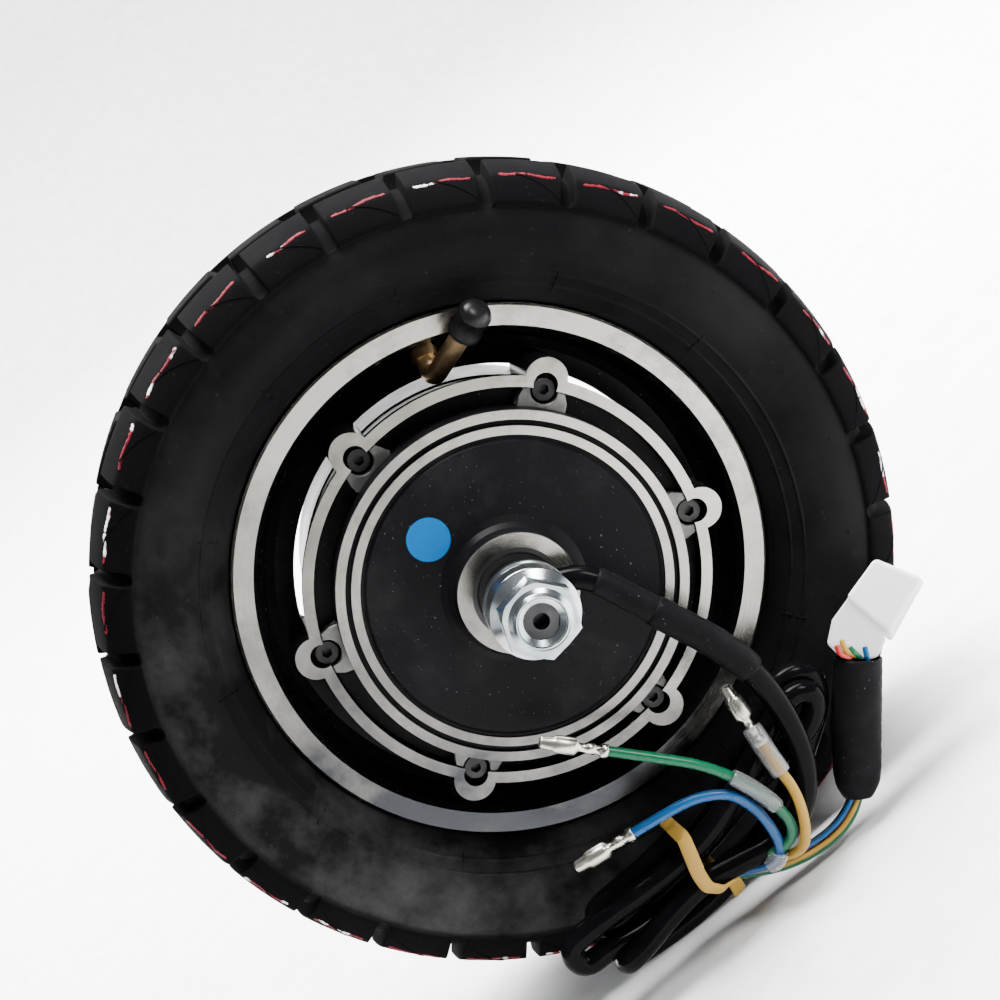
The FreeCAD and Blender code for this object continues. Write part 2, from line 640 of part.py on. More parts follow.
def lug_shape(sketch, degrees):
    """A screw lug: wide where it leaves the cover's wall, round in the casing's ear pocket."""
    turn = math.radians(degrees)
    out, side = V(math.cos(turn), math.sin(turn), 0), V(-math.sin(turn), math.cos(turn), 0)
    reach = d.screw_pitch + 1.2

    def corner(radius, across):
        return (radius * out.x + across * side.x, radius * out.y + across * side.y)

    draw(sketch, [
        corner(d.cover_wall - 1.5, -8.4), corner(reach - 3.6, -6.9),
        corner(reach - 2.2, -2.45), corner(reach, -3.3) + (3.301,), corner(reach, 3.3),
        corner(reach - 2.2, 2.45), corner(reach - 3.6, 6.9), corner(d.cover_wall - 1.5, 8.4)])


def build_cover_fittings():
    """Gasket, cover screws, oil seals and the round inspection label."""
    turned("cover_gasket", ring_corners(d.drum_bore + 0.2, d.seat_radius - 2.5,
                                        d.seat_depth + 0.03, d.seat_depth + 0.55))
    screws = new_body("cover_screws_body")
    ear_angle = 41.85
    place = on_circle(d.screw_pitch - 0.4, ear_angle)
    seat = d.ring_depth - 6.35
    shank = new_sketch(screws, "screw_shank", "XZ_Plane", d.seat_depth - 11.0)
    draw_circle(shank, *place, 2.0)
    shank_pad = extrude(screws, shank, "screw_shank_pad", 15.0)
    head = new_sketch(screws, "screw_head", "XZ_Plane", seat)
    draw_circle(head, *place, 3.45)
    head_pad = extrude(screws, head, "screw_head_pad", 4.0)
    socket = new_sketch(screws, "screw_socket", "XZ_Plane", seat + 4.0)
    corners = []
    for step in range(6):
        u, v = on_circle(1.73, 60.0 * step)
        corners.append((place[0] + u, place[1] + v))
    draw(socket, corners)
    socket_cut = extrude(screws, socket, "screw_socket_cut", 2.6, cut=True)
    pattern = screws.newObject("PartDesign::PolarPattern", "screw_ring")
    pattern.Originals = [shank_pad, head_pad, socket_cut]
    pattern.Axis = (origin_feature(screws, "Y_Axis"), [""])
    pattern.Angle = 360
    pattern.Occurrences = int(float(d.ear_count))
    pattern.setExpression("Occurrences", d.ear_count.text)
    screws.Tip = pattern
    keep(screws, "cover_screws")

    start = d.bearing_depth + d.bearing_width + 0.6
    end = d.boss_depth - 0.3
    lip = d.journal_radius + 0.06
    profile = [(lip + 1.1, start), (d.seal_radius, start), (d.seal_radius, end),
               (d.seal_radius - 1.4, end), (d.seal_radius - 2.1, end - 0.7),
               (lip + 1.6, end - 1.0), (lip, end - 1.7), (lip, end - 2.3), (lip + 1.1, end - 3.2)]
    turned("front_seal", profile)
    turned("rear_seal", [(radius, -depth) for radius, depth in reversed(profile)])

    label = new_body("inspection_label_body")
    sketch = new_sketch(label, "label_outline", "XZ_Plane", d.cover_depth + 0.02)
    draw_circle(sketch, *on_circle(30.4, 111.0), 6.7)
    extrude(label, sketch, "label_pad", 0.16)
    keep(label, "inspection_label")


def build_rotor():
    """Steel flux ring and the ring of magnets inside the drum."""
    turned("flux_ring", ring_corners(d.magnet_outer + 0.05, d.drum_bore - 0.05,
                                     -(d.magnet_half + 1), d.magnet_half + 1))
    magnets = new_body("magnets_body")
    half = 180.0 / float(d.magnet_count) - 0.7
    sketch = new_sketch(magnets, "magnet_outline", "XZ_Plane", -d.magnet_half)
    sector(sketch, d.magnet_inner, d.magnet_outer, 90.0, half)
    repeat(magnets, extrude(magnets, sketch, "magnet_pad", d.magnet_half * 2.0), d.magnet_count)
    keep(magnets, "magnets")


def build_tyre():
    """Tyre with staggered shoulder blocks either side of a crown rib, and its inner tube."""
    body = new_body("tyre_body")
    crown, half = d.tyre_radius, d.tyre_half_width
    groove = crown - d.tread_groove
    outside = [
        (78.4, 15.0), (78.5, 16.6), (80.9, 19.5), (d.tyre_bead_radius, 20.4),
        (d.tyre_bead_radius + 0.4, 23.6), (86.4, 26.2),
        (89.2, 30.2), (90.4, 31.4), (93.0, 34.2), (94.4, 35.6), (99.0, 38.6), (104.5, half),
        (109.0, half - 0.4), (d.shoulder_radius, half - 1.6), (d.shoulder_radius + 1, half - 0.6),
        (119.0, half - 2.4), (123.0, half - 6.8), (125.8, half - 13.0), (crown - 0.7, 17.5),
        (groove, 16.5), (groove, 13.0), (crown - 0.2, 12.0)]
    inside = [(121.0, 0), (119.5, 16.0), (114.0, 28.0), (105.0, 35.0), (98.0, 32.6),
              (91.0, 25.6), (86.0, 18.2), (82.0, 13.4), (78.4, 11.0)]
    rear_outside = [(radius, -depth) for radius, depth in reversed(outside)]
    rear_inside = [(radius, -depth) for radius, depth in reversed(inside[1:])]
    revolve(body, "tyre_turning",
            outside + [(crown, 0)] + rear_outside + rear_inside + inside)
    reach = d.tyre_half_width - 27.0
    gap_sides = (("front", 7.6, d.tyre_half_width + 2), ("rear", 1.6, -27.0))
    for side, degrees, depth in gap_sides:
        gap = new_sketch(body, side + "_gap", "XZ_Plane", depth)
        gap_outline(gap, degrees, d.shoulder_radius + 2.0, 131.0)
        repeat(body, extrude(body, gap, side + "_gap_cut", reach + 2.0, cut=True), d.block_count)
    notch = new_sketch(body, "crown_gap", "XZ_Plane", 14.0)
    gap_outline(notch, 9.5, d.tyre_radius - d.tread_groove + 0.6, 131.0)
    repeat(body, extrude(body, notch, "crown_gap_cut", 28.0, cut=True), d.block_count)
    keep(body, "tyre")

    tube = new_body("inner_tube_body")
    revolve(tube, "tube_turning", [
        (80.2, 0), (80.8, 10.2), (85.2, 15.8), (90.4, 23.4), (97.6, 30.8), (104.6, 33.8),
        (113.2, 27.4), (118.6, 15.6), (120.2, 0), (118.6, -15.6), (113.2, -27.4), (104.6, -33.8),
        (97.6, -30.8), (90.4, -23.4), (85.2, -15.8), (80.8, -10.2)])
    revolve(tube, "tube_hollow", [
        (82.2, 0), (82.8, 9.6), (86.8, 14.8), (91.8, 22.2), (98.4, 28.8), (104.0, 31.6),
        (111.6, 26.2), (116.8, 14.8), (118.2, 0), (116.8, -14.8), (111.6, -26.2), (104.0, -31.6),
        (98.4, -28.8), (91.8, -22.2), (86.8, -14.8), (82.8, -9.6)], cut=True)
    keep(tube, "inner_tube")


def gap_outline(sketch, degrees, inner, outer):
    """A gap between tread blocks: a strip along the radius."""
    turn = math.radians(degrees)
    out, side = V(math.cos(turn), math.sin(turn), 0), V(-math.sin(turn), math.cos(turn), 0)
    inner, outer = Size.of(inner), Size.of(outer)
    half = d.block_gap * 0.5
    corners = []
    for radius, across in ((inner, -0.8), (outer, -1.0), (outer, 1.0), (inner, 0.8)):
        corners.append((radius * out.x + half * (side.x * across),
                        radius * out.y + half * (side.y * across)))
    draw(sketch, corners)


# ---------------------------------------------------------------- valve
def valve_leg():
    """The valve's hole in the rim, its bend and the direction of its lower leg."""
    hole_x, hole_z = on_circle(75.4, float(d.valve_angle) - 0.6)
    hole = V(hole_x, -9.5, hole_z)
    bend_x, bend_z = on_circle(63.6, float(d.valve_angle))
    bend = V(bend_x, -16.0, bend_z)
    return hole, bend, (hole - bend).normalize()


def build_valve():
    """Bent brass stem, its collar, the sprung pin and the screw cap."""
    hole, bend, inward = valve_leg()
    tip = V(43.7, -42.0, 72.4)
    along = (tip - bend).normalize()
    stem_radius = float(d.valve_radius)
    root = hole + inward * 6.0
    cap_start = tip - along * float(d.cap_length)
    stem_end = cap_start + along * 7.5
    corner = 4.2
    path = rounded_path([root, bend, stem_end], corner)
    stem = pipe(path, stem_radius)
    bore_start = stem_end - along * 9.0
    bore = Part.makeCylinder(1.35, 9.5, bore_start, along)
    feature_from("valve_stem", stem.cut(bore))

    collar = cylinder("collar_drum", d.valve_radius + 1.3, 3.0, hole - inward * 6.6, inward)
    passage = cylinder("collar_bore", d.valve_radius + 0.03, 5.0, hole - inward * 7.0, inward)
    keep(cut("valve_collar_cut", collar, passage), "valve_collar")

    pin = cylinder("pin_shaft", 0.7, 8.0, stem_end - along * 8.3, along)
    button = cylinder("pin_button", 1.2, 0.6, stem_end - along * 1.0, along)
    keep(fuse("valve_pin_join", [pin, button]), "valve_pin")

    body = cylinder("cap_body", d.cap_radius, d.cap_length - 2.2, cap_start, along)
    nose = doc.addObject("Part::Cone", "cap_nose")
    bind(nose, Radius1=d.cap_radius, Radius2=d.cap_radius - 2.4, Height=2.2)
    nose.Placement = FreeCAD.Placement(cap_start + along * (float(d.cap_length) - 2.2),
                                       FreeCAD.Rotation(V(0, 0, 1), along))
    hollow = cylinder("cap_hollow", d.valve_radius + 0.06, 8.6, cap_start - along * 0.5, along)
    keep(cut("valve_cap_cut", fuse("cap_outside", [body, nose]), hollow), "valve_cap")
    print("valve cap axis", [round(value, 4) for value in along], "bend", bend, "tip", tip)


# ---------------------------------------------------------------- cables
def rounded_path(points, fixed_setback=None):
    """Straight runs joined by tangent arcs, each as large as its two runs allow."""
    edges = []
    radii = []
    start = points[0]
    for before, corner, after in zip(points, points[1:], points[2:]):
        run_in, run_out = corner - before, after - corner
        turn = run_in.getAngle(run_out)
        setback = fixed_setback or 0.45 * min(run_in.Length, run_out.Length)
        way_in, way_out = V(run_in).normalize(), V(run_out).normalize()
        radius = setback / math.tan(turn / 2)
        first, last = corner - way_in * setback, corner + way_out * setback
        inside = (way_out - way_in).normalize()
        centre = corner + inside * (radius / math.cos(turn / 2))
        edges.append(Part.LineSegment(start, first).toShape())
        edges.append(Part.Arc(first, centre - inside * radius, last).toShape())
        radii.append(radius)
        start = last
    edges.append(Part.LineSegment(start, points[-1]).toShape())
    wire = Part.Wire(edges)
    print("radii", " ".join(f"{radius:.1f}" for radius in radii), "length", round(wire.Length, 1))
    return wire


def pipe(wire, radius):
    """A round tube along a path."""
    start = wire.Edges[0]
    direction = start.tangentAt(start.FirstParameter)
    circle = Part.Circle(start.valueAt(start.FirstParameter), direction, radius)
    solid = wire.makePipeShell([Part.Wire([circle.toShape()])], True, True)
    expected = math.pi * radius**2 * wire.Length
    print("volume over section times length", round(solid.Volume / expected, 4))
    return solid


def route(points):
    """A route written as (x, depth, z)."""
    return [V(x, -depth, z) for x, depth, z in points]


LEAD = [(9.4, 62.0, -1.0), (17.5, 62.3, -1.6), (25.0, 64.5, -9.0), (29.6, 67.0, -23.0),
        (35.2, 68.4, -40.0), (39.4, 68.4, -57.5), (39.4, 67.4, -76.0), (35.4, 66.4, -93.0),
        (26.0, 65.4, -107.0), (13.0, 64.6, -114.0)]
BLUE = [(-3.6, 62.7, -108.6), (2.4, 64.6, -111.6), (8.6, 69.4, -113.4), (13.6, 71.4, -107.4),
        (15.0, 71.0, -94.5), (11.6, 71.0, -84.0), (2.4, 70.0, -78.6), (-8.0, 68.4, -77.2),
        (-20.6, 66.0, -76.4)]
GREEN = [(-3.6, 65.8, -107.0), (4.0, 70.6, -107.4), (13.0, 75.6, -109.0), (20.4, 75.4, -104.2),
         (20.0, 74.4, -95.0), (16.6, 72.4, -83.0), (10.4, 71.0, -71.8), (2.0, 69.0, -62.6),
         (-10.4, 66.4, -49.6)]
YELLOW = [(-3.6, 66.0, -103.6), (5.4, 75.2, -104.6), (15.0, 80.0, -111.6), (23.0, 79.0, -107.0),
          (27.2, 76.8, -97.0), (28.4, 73.0, -84.6), (29.4, 70.0, -72.0)]
HALL = [(-3.0, 60.6, -112.4), (6.9, 59.8, -117.0), (16.0, 59.0, -119.8), (26.0, 58.4, -121.8),
        (34.6, 58.0, -121.8), (42.4, 58.0, -119.4)]
HALL_SPREAD = [("red", 0.0, 0.0), ("yellow", 0.0, 1.75), ("green", 0.0, -1.75),
               ("blue", 1.6, 0.9), ("black", 1.6, -0.9)]
PHASES = [("blue", BLUE), ("green", GREEN), ("yellow", YELLOW)]
HANK = [(-57.0, -99.0), (-57.0, -106.5), (-46.0, -114.5), (-22.0, -119.0), (4.0, -118.5),
        (20.0, -114.0), (44.0, -96.0), (57.5, -84.0), (57.0, -74.0), (45.0, -70.0), (24.0, -78.0),
        (-9.0, -82.0), (-35.0, -87.5)]
HANK_BACK, HANK_FRONT = 50.0, 67.0


def build_cables():
    """Motor cable: its lead, the tied hank, and the phase and hall wires at its end."""
    grommet = cylinder("grommet_drum", 4.6, 3.2, V(8.9, -62.0, -1.0), V(1, 0, 0))
    hole = cylinder("grommet_bore", d.cable_radius + 0.03, 6.0, V(7.0, -62.0, -1.0), V(1, 0, 0))
    keep(cut("grommet_cut", grommet, hole), "cable_grommet")
    feature_from("cable_lead", pipe(rounded_path(route(LEAD)), float(d.cable_radius)))
    corners = [V(x, -HANK_BACK, z) for x, z in HANK]
    outline = Part.Face(Part.makePolygon(corners + corners[:1]))
    block = outline.extrude(V(0, HANK_BACK - HANK_FRONT, 0))
    feature_from("cable_hank", block)
    build_lead_sleeves()
    build_band()
    for colour, points in PHASES:
        build_phase_wire(colour, route(points))
    for colour, upward, forward in HALL_SPREAD:
        moved = [(x, depth + forward, z + upward) for x, depth, z in HALL]
        feature_from(f"hall_wire_{colour}", pipe(rounded_path(route(moved)), float(d.hall_radius)))
    build_connector()


def build_lead_sleeves():
    """Two heat-shrink sleeves over the lead: short straight tubes beside its axis."""
    points = route(LEAD)
    sleeves = (("lead_sleeve_thin", 2, 3, 4.35), ("lead_sleeve_thick", 4, 5, 4.9))
    for label, first, last, radius in sleeves:
        way = (points[last] - points[first]).normalize()
        start = points[first] + way * 4.5
        length = (points[last] - points[first]).Length - 8.0
        drum = cylinder(label + "_drum", radius, length, start, way)
        bore = cylinder(label + "_bore", d.cable_radius + 0.03, length + 4, start - way * 2, way)
        keep(cut(label + "_cut", drum, bore), label)


def build_band():
    """Rubber band round the hank."""
    low, high = V(-10.6, -(HANK_FRONT + 1.4), -120.8), V(-7.4, -(HANK_BACK - 1.4), -80.4)
    outer = Part.makeBox(high.x - low.x, high.y - low.y, high.z - low.z, low)
    step = V(0, 1.2, 1.2)
    inner = Part.makeBox(high.x - low.x + 2, high.y - low.y - 2.4, high.z - low.z - 2.4,
                         low + step - V(1, 0, 0))
    feature_from("rubber_band", outer.cut(inner))


def build_phase_wire(colour, points):
    """A phase wire with a crimped bullet at its end and a loose clear sleeve along it."""
    radius = float(d.phase_radius)
    feature_from(f"phase_wire_{colour}", pipe(rounded_path(points), radius))
    way = (points[-1] - points[-2]).normalize()
    end = points[-1]
    crimp = Part.makeCylinder(2.0, 4.0, end, way)
    waist = Part.makeCylinder(1.5, 5.0, end + way * 4.0, way)
    barrel = Part.makeCylinder(2.5, 6.0, end + way * 9.0, way)
    nose = Part.makeCone(2.2, 1.3, 4.5, end + way * 15.0, way)
    feature_from(f"bullet_{colour}", crimp.fuse([waist, barrel, nose]).removeSplitter())
    place = {"blue": 2, "green": 5, "yellow": 5}[colour]
    first, last = points[place], points[place + 1]
    along = (last - first).normalize()
    length = {"blue": 6.0, "green": 11.0, "yellow": 11.0}[colour]
    start = first + along * ((last - first).Length - length) * 0.5
    drum = cylinder(f"sleeve_{colour}_drum", 2.5, length, start, along)
    bore = cylinder(f"sleeve_{colour}_bore", 1.63, length + 4, start - along * 2, along)
    keep(cut(f"bullet_sleeve_{colour}_cut", drum, bore), f"bullet_sleeve_{colour}")


def build_connector():
    """Heat-shrink sleeve over the hall wires and the two-part nylon connector above it."""
    foot, head = V(42.9, -58.0, -120.6), V(70.4, -54.5, -82.6)
    along = (head - foot).normalize()
    length = (head - foot).Length
    rings = [(0.0, 4.0, 3.6), (0.22, 7.6, 5.4), (0.5, 8.6, 6.0), (1.0, 8.4, 6.6)]
    across = along.cross(V(0, 1, 0)).normalize()
    wires = []
    for share, wide, deep in rings:
        centre = foot + along * (length * share)
        ellipse = Part.Ellipse(V(0, 0, 0), wide, deep)
        edge = ellipse.toShape()
        turn = FreeCAD.Rotation(across, along.cross(across), along, "ZXY")
        edge.Placement = FreeCAD.Placement(centre, turn)
        wires.append(Part.Wire([edge]))
    feature_from("hall_sleeve", Part.makeLoft(wires, True, False))

    tilt = 22.0
    turn = FreeCAD.Rotation(V(0, 1, 0), -tilt)
    receptacle = doc.addObject("Part::Box", "receptacle_box")
    bind(receptacle, Length=15.0, Width=10.4, Height=14.6)
    receptacle.Placement = FreeCAD.Placement(V(69.9, -60.2, -80.5), turn)
    recess = doc.addObject("Part::Box", "receptacle_recess")
    bind(recess, Length=3.0, Width=7.0, Height=11.0)
    recess.Placement = FreeCAD.Placement(V(68.9, -58.4, -78.9), turn)
    keep(cut("receptacle_cut", receptacle, recess), "connector_receptacle")
    housing = doc.addObject("Part::Box", "housing_box")
    bind(housing, Length=21.0, Width=13.0, Height=17.6)
    housing.Placement = FreeCAD.Placement(V(80.3, -61.5, -79.2), turn)
    socket = doc.addObject("Part::Box", "housing_socket")
    bind(socket, Length=8.0, Width=10.6, Height=14.8)
    socket.Placement = FreeCAD.Placement(V(79.0, -60.3, -78.2), turn)
    keep(cut("housing_cut", housing, socket), "connector_housing")


build_axle()
build_stator()
build_bearing("front", 1)
build_bearing("rear", -1)
build_axle_hardware()
build_casting()
build_cover()
build_cover_fittings()
build_rotor()
build_tyre()
build_valve()
build_cables()
doc.recompute()

problems = []
for item in doc.Objects:
    if "Invalid" in item.State or "Error" in item.State:
        problems.append(f"{item.Name}: {item.State}")
for item in nodes:
    if item.Shape.isNull() or not item.Shape.isValid():
        problems.append(f"{item.Label}: shape is null or not valid")
if problems:
    raise SystemExit("\n".join(problems))
for item in nodes:
    item.Shape.exportStep(f"parts/{item.Label}.step")
print(len(nodes), "sub-parts written")
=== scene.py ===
import math
import random

import bpy
import numpy as np
from mathutils import Matrix, Vector


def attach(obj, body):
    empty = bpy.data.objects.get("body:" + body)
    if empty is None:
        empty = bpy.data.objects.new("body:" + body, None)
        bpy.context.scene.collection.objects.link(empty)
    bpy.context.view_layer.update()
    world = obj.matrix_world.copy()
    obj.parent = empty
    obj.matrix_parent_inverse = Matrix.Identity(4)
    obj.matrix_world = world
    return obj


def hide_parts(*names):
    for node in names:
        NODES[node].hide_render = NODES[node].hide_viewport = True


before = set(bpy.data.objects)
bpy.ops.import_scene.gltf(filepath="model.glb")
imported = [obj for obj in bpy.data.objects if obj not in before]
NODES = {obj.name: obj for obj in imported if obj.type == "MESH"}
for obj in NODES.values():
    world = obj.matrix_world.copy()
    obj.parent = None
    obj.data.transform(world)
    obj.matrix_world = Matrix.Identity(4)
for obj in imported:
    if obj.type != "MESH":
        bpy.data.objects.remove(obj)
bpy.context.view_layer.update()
MM = 0.001
FLOOR = -0.1276
rng = random.Random(7)


# ---------------------------------------------------------------- camera, light, floor
def at(x, depth, z):
    """A point written in millimetres as (x, depth in front of the mid-plane, z)."""
    return Vector((x * MM, -depth * MM, z * MM))


def make_camera():
    elevation, roll, distance = math.radians(14.2), math.radians(39.0), 0.675
    back = Vector((0, -math.cos(elevation), math.sin(elevation)))
    rise = Vector((0, math.sin(elevation), math.cos(elevation)))
    right = Vector((1, 0, 0)) * math.cos(roll) - rise * math.sin(roll)
    up = Vector((1, 0, 0)) * math.sin(roll) + rise * math.cos(roll)
    data = bpy.data.cameras.new("camera")
    data.sensor_width = 36.0
    data.lens = 75.53
    data.shift_x, data.shift_y = 0.0083, 0.0597
    data.clip_start, data.clip_end = 0.02, 30.0
    camera = bpy.data.objects.new("camera", data)
    turn = Matrix((right, up, back)).transposed().to_4x4()
    camera.matrix_world = Matrix.Translation(back * distance) @ turn
    bpy.context.collection.objects.link(camera)
    bpy.context.scene.camera = camera


def area_light(name, place, size, power, tint=(1, 1, 1), target=(0, 0, -0.02), spread=180.0):
    data = bpy.data.lights.new(name, "AREA")
    data.shape = "RECTANGLE"
    data.size, data.size_y = size
    data.energy = power
    data.color = tint
    data.spread = math.radians(spread)
    light = bpy.data.objects.new(name, data)
    light.location = place
    aim = Vector(target) - Vector(place)
    light.rotation_euler = aim.to_track_quat("-Z", "Y").to_euler()
    bpy.context.collection.objects.link(light)


def make_light():
    world = bpy.data.worlds.new("studio")
    world.use_nodes = True
    nodes, links = world.node_tree.nodes, world.node_tree.links
    sky = nodes["Background"]
    place = nodes.new("ShaderNodeTexCoord")
    split = nodes.new("ShaderNodeSeparateXYZ")
    ramp = nodes.new("ShaderNodeValToRGB")
    links.new(place.outputs["Generated"], split.inputs[0])
    links.new(split.outputs["Y"], ramp.inputs[0])
    ramp.color_ramp.elements[0].position = 0.35
    ramp.color_ramp.elements[0].color = (0.18, 0.18, 0.185, 1)
    ramp.color_ramp.elements[1].position = 0.85
    ramp.color_ramp.elements[1].color = (1, 1, 1, 1)
    links.new(ramp.outputs[0], sky.inputs[0])
    sky.inputs[1].default_value = 1.3
    bpy.context.scene.world = world
    area_light("overhead", (0.60, 0.55, 1.6), (1.9, 1.4), 112.0, (1, 1, 1), (0.42, 0.50, -0.13), 80.0)
    area_light("far_floor", (-0.6, 1.5, 1.8), (1.6, 1.0), 90.0, (1, 1, 1), (-0.6, 1.5, -0.13), 110.0)
    area_light("backdrop", (0.0, 1.2, 1.9), (2.5, 1.2), 120.0, (1, 1, 1), (0.0, 3.1, 0.6))
    area_light("key", (0.85, -0.75, 0.80), (0.4, 0.4), 6.0, (1.0, 0.985, 0.97), (0.16, -0.08, -0.10), 100.0)
    area_light("side", (-1.1, -0.6, 0.5), (0.3, 0.9), 1.5, (0.96, 0.98, 1.0))


def make_floor():
    material = new_material("floor_paper", (0.93, 0.93, 0.93), 0.75)
    grain(material, 900.0, 0.08, 0.04, 0.0002, 0.02)
    rows = [(-6.0, 0.0), (1.6, 0.0), (2.4, 0.12), (2.9, 0.5), (3.1, 1.2), (3.1, 5.0)]
    points = [(x, y, FLOOR + rise) for y, rise in rows for x in (-7.0, 7.0)]
    faces = [(2 * i, 2 * i + 1, 2 * i + 3, 2 * i + 2) for i in range(len(rows) - 1)]
    mesh = bpy.data.meshes.new("floor")
    mesh.from_pydata(points, [], faces)
    mesh.shade_smooth()
    mesh.materials.append(material)
    floor = bpy.data.objects.new("floor", mesh)
    bpy.context.collection.objects.link(floor)


# ---------------------------------------------------------------- materials
def new_material(name, colour, roughness, metallic=0.0, **sockets):
    material = bpy.data.materials.new(name)
    material.use_nodes = True
    shader = material.node_tree.nodes["Principled BSDF"]
    shader.inputs["Base Color"].default_value = (*colour, 1)
    shader.inputs["Roughness"].default_value = roughness
    shader.inputs["Metallic"].default_value = metallic
    for key, value in sockets.items():
        shader.inputs[key.replace("_", " ")].default_value = value
    return material


class Tree:
    """Short ways to add shader nodes to a material."""

    def __init__(self, material):
        self.nodes, self.links = material.node_tree.nodes, material.node_tree.links
        self.shader = self.nodes["Principled BSDF"]
        self.place = self.nodes.new("ShaderNodeTexCoord").outputs["Object"]

    def join(self, value, socket):
        if hasattr(value, "is_linked"):
            self.links.new(value, socket)
        elif isinstance(value, (tuple, list)) and len(value) == 3 and socket.type == "RGBA":
            socket.default_value = (*value, 1)
        else:
            socket.default_value = value

    def math(self, kind, *values):
        node = self.nodes.new("ShaderNodeMath")
        node.operation = kind
        for value, socket in zip(values, node.inputs):
            self.join(value, socket)
        return node.outputs[0]

    def times(self, first, second):
        return self.math("MULTIPLY", first, second)

    def plus(self, first, second):
        return self.math("ADD", first, second)

    def band(self, value, low, high, soft):
        """1 between low and high, falling to 0 over soft."""
        rise = self.spread(value, low - soft, low, 0.0, 1.0)
        fall = self.spread(value, high, high + soft, 1.0, 0.0)
        return self.times(rise, fall)

    def ring(self, radius, depth, zone, soft):
        """1 inside a turned zone: (inner, outer, low, high) in metres."""
        inner, outer, low, high = zone
        return self.times(self.band(radius, inner, outer, soft), self.band(depth, low, high, 0.0001))

    def spread(self, value, low, high, to_low=0.0, to_high=1.0):
        """The value's place between low and high, mapped to another range and clamped."""
        node = self.nodes.new("ShaderNodeMapRange")
        node.clamp = True
        for value_in, key in ((value, 0), (low, 1), (high, 2), (to_low, 3), (to_high, 4)):
            self.join(value_in, node.inputs[key])
        return node.outputs[0]

    def noise(self, scale, detail=4.0, rough=0.6, vector=None, stretch=None):
        source = vector or self.place
        if stretch:
            mapping = self.nodes.new("ShaderNodeMapping")
            mapping.inputs["Scale"].default_value = stretch
            self.links.new(source, mapping.inputs[0])
            source = mapping.outputs[0]
        node = self.nodes.new("ShaderNodeTexNoise")
        self.links.new(source, node.inputs["Vector"])
        node.inputs["Scale"].default_value = scale
        node.inputs["Detail"].default_value = detail
        node.inputs["Roughness"].default_value = rough
        return node.outputs["Fac"]

    def mix(self, share, first, second):
        node = self.nodes.new("ShaderNodeMix")
        node.data_type = "RGBA"
        self.join(share, node.inputs[0])
        self.join(first, node.inputs[6])
        self.join(second, node.inputs[7])
        return node.outputs[2]

    def axes(self):
        """Distance from the axle, depth in front of the mid-plane, the face's turn to the front, x and z."""
        split = self.nodes.new("ShaderNodeSeparateXYZ")
        self.links.new(self.place, split.inputs[0])
        x, y, z = split.outputs
        radius = self.math("SQRT", self.plus(self.times(x, x), self.times(z, z)))
        normal = self.nodes.new("ShaderNodeTexCoord").outputs["Normal"]
        facing = self.nodes.new("ShaderNodeSeparateXYZ")
        self.links.new(normal, facing.inputs[0])
        return radius, self.times(y, -1.0), self.times(facing.outputs[1], -1.0), x, z

    def lathe(self, radius, scale):
        """Fine turned rings as a height."""
        combine = self.nodes.new("ShaderNodeCombineXYZ")
        self.links.new(radius, combine.inputs[0])
        return self.noise(scale, 2.0, 0.7, combine.outputs[0])

    def bump(self, height, strength, distance, under=None):
        node = self.nodes.new("ShaderNodeBump")
        node.inputs["Strength"].default_value = strength
        node.inputs["Distance"].default_value = distance
        self.join(height, node.inputs["Height"])
        if under is not None:
            self.links.new(under, node.inputs["Normal"])
        return node.outputs[0]

    def set(self, key, value):
        self.join(value, self.shader.inputs[key])


def grain(material, scale, colour_spread, rough_spread, distance, strength=0.3):
    """Colour and roughness that vary, with a fine bump."""
    tree = Tree(material)
    base = tuple(tree.shader.inputs["Base Color"].default_value[:3])
    rough = tree.shader.inputs["Roughness"].default_value
    broad, fine = tree.noise(scale * 0.06, 5.0), tree.noise(scale, 3.0)
    dark = tuple(max(0.0, channel * (1 - colour_spread)) for channel in base)
    light = tuple(min(1.0, channel * (1 + colour_spread) + 0.003 * colour_spread) for channel in base)
    tree.set("Base Color", tree.mix(tree.spread(broad, 0.3, 0.7), dark, light))
    tree.set("Roughness", tree.spread(tree.noise(scale * 0.15, 4.0), 0.3, 0.7, max(0.02, rough - rough_spread),
                                      min(1.0, rough + rough_spread)))
    tree.set("Normal", tree.bump(fine, strength, distance))
    return material


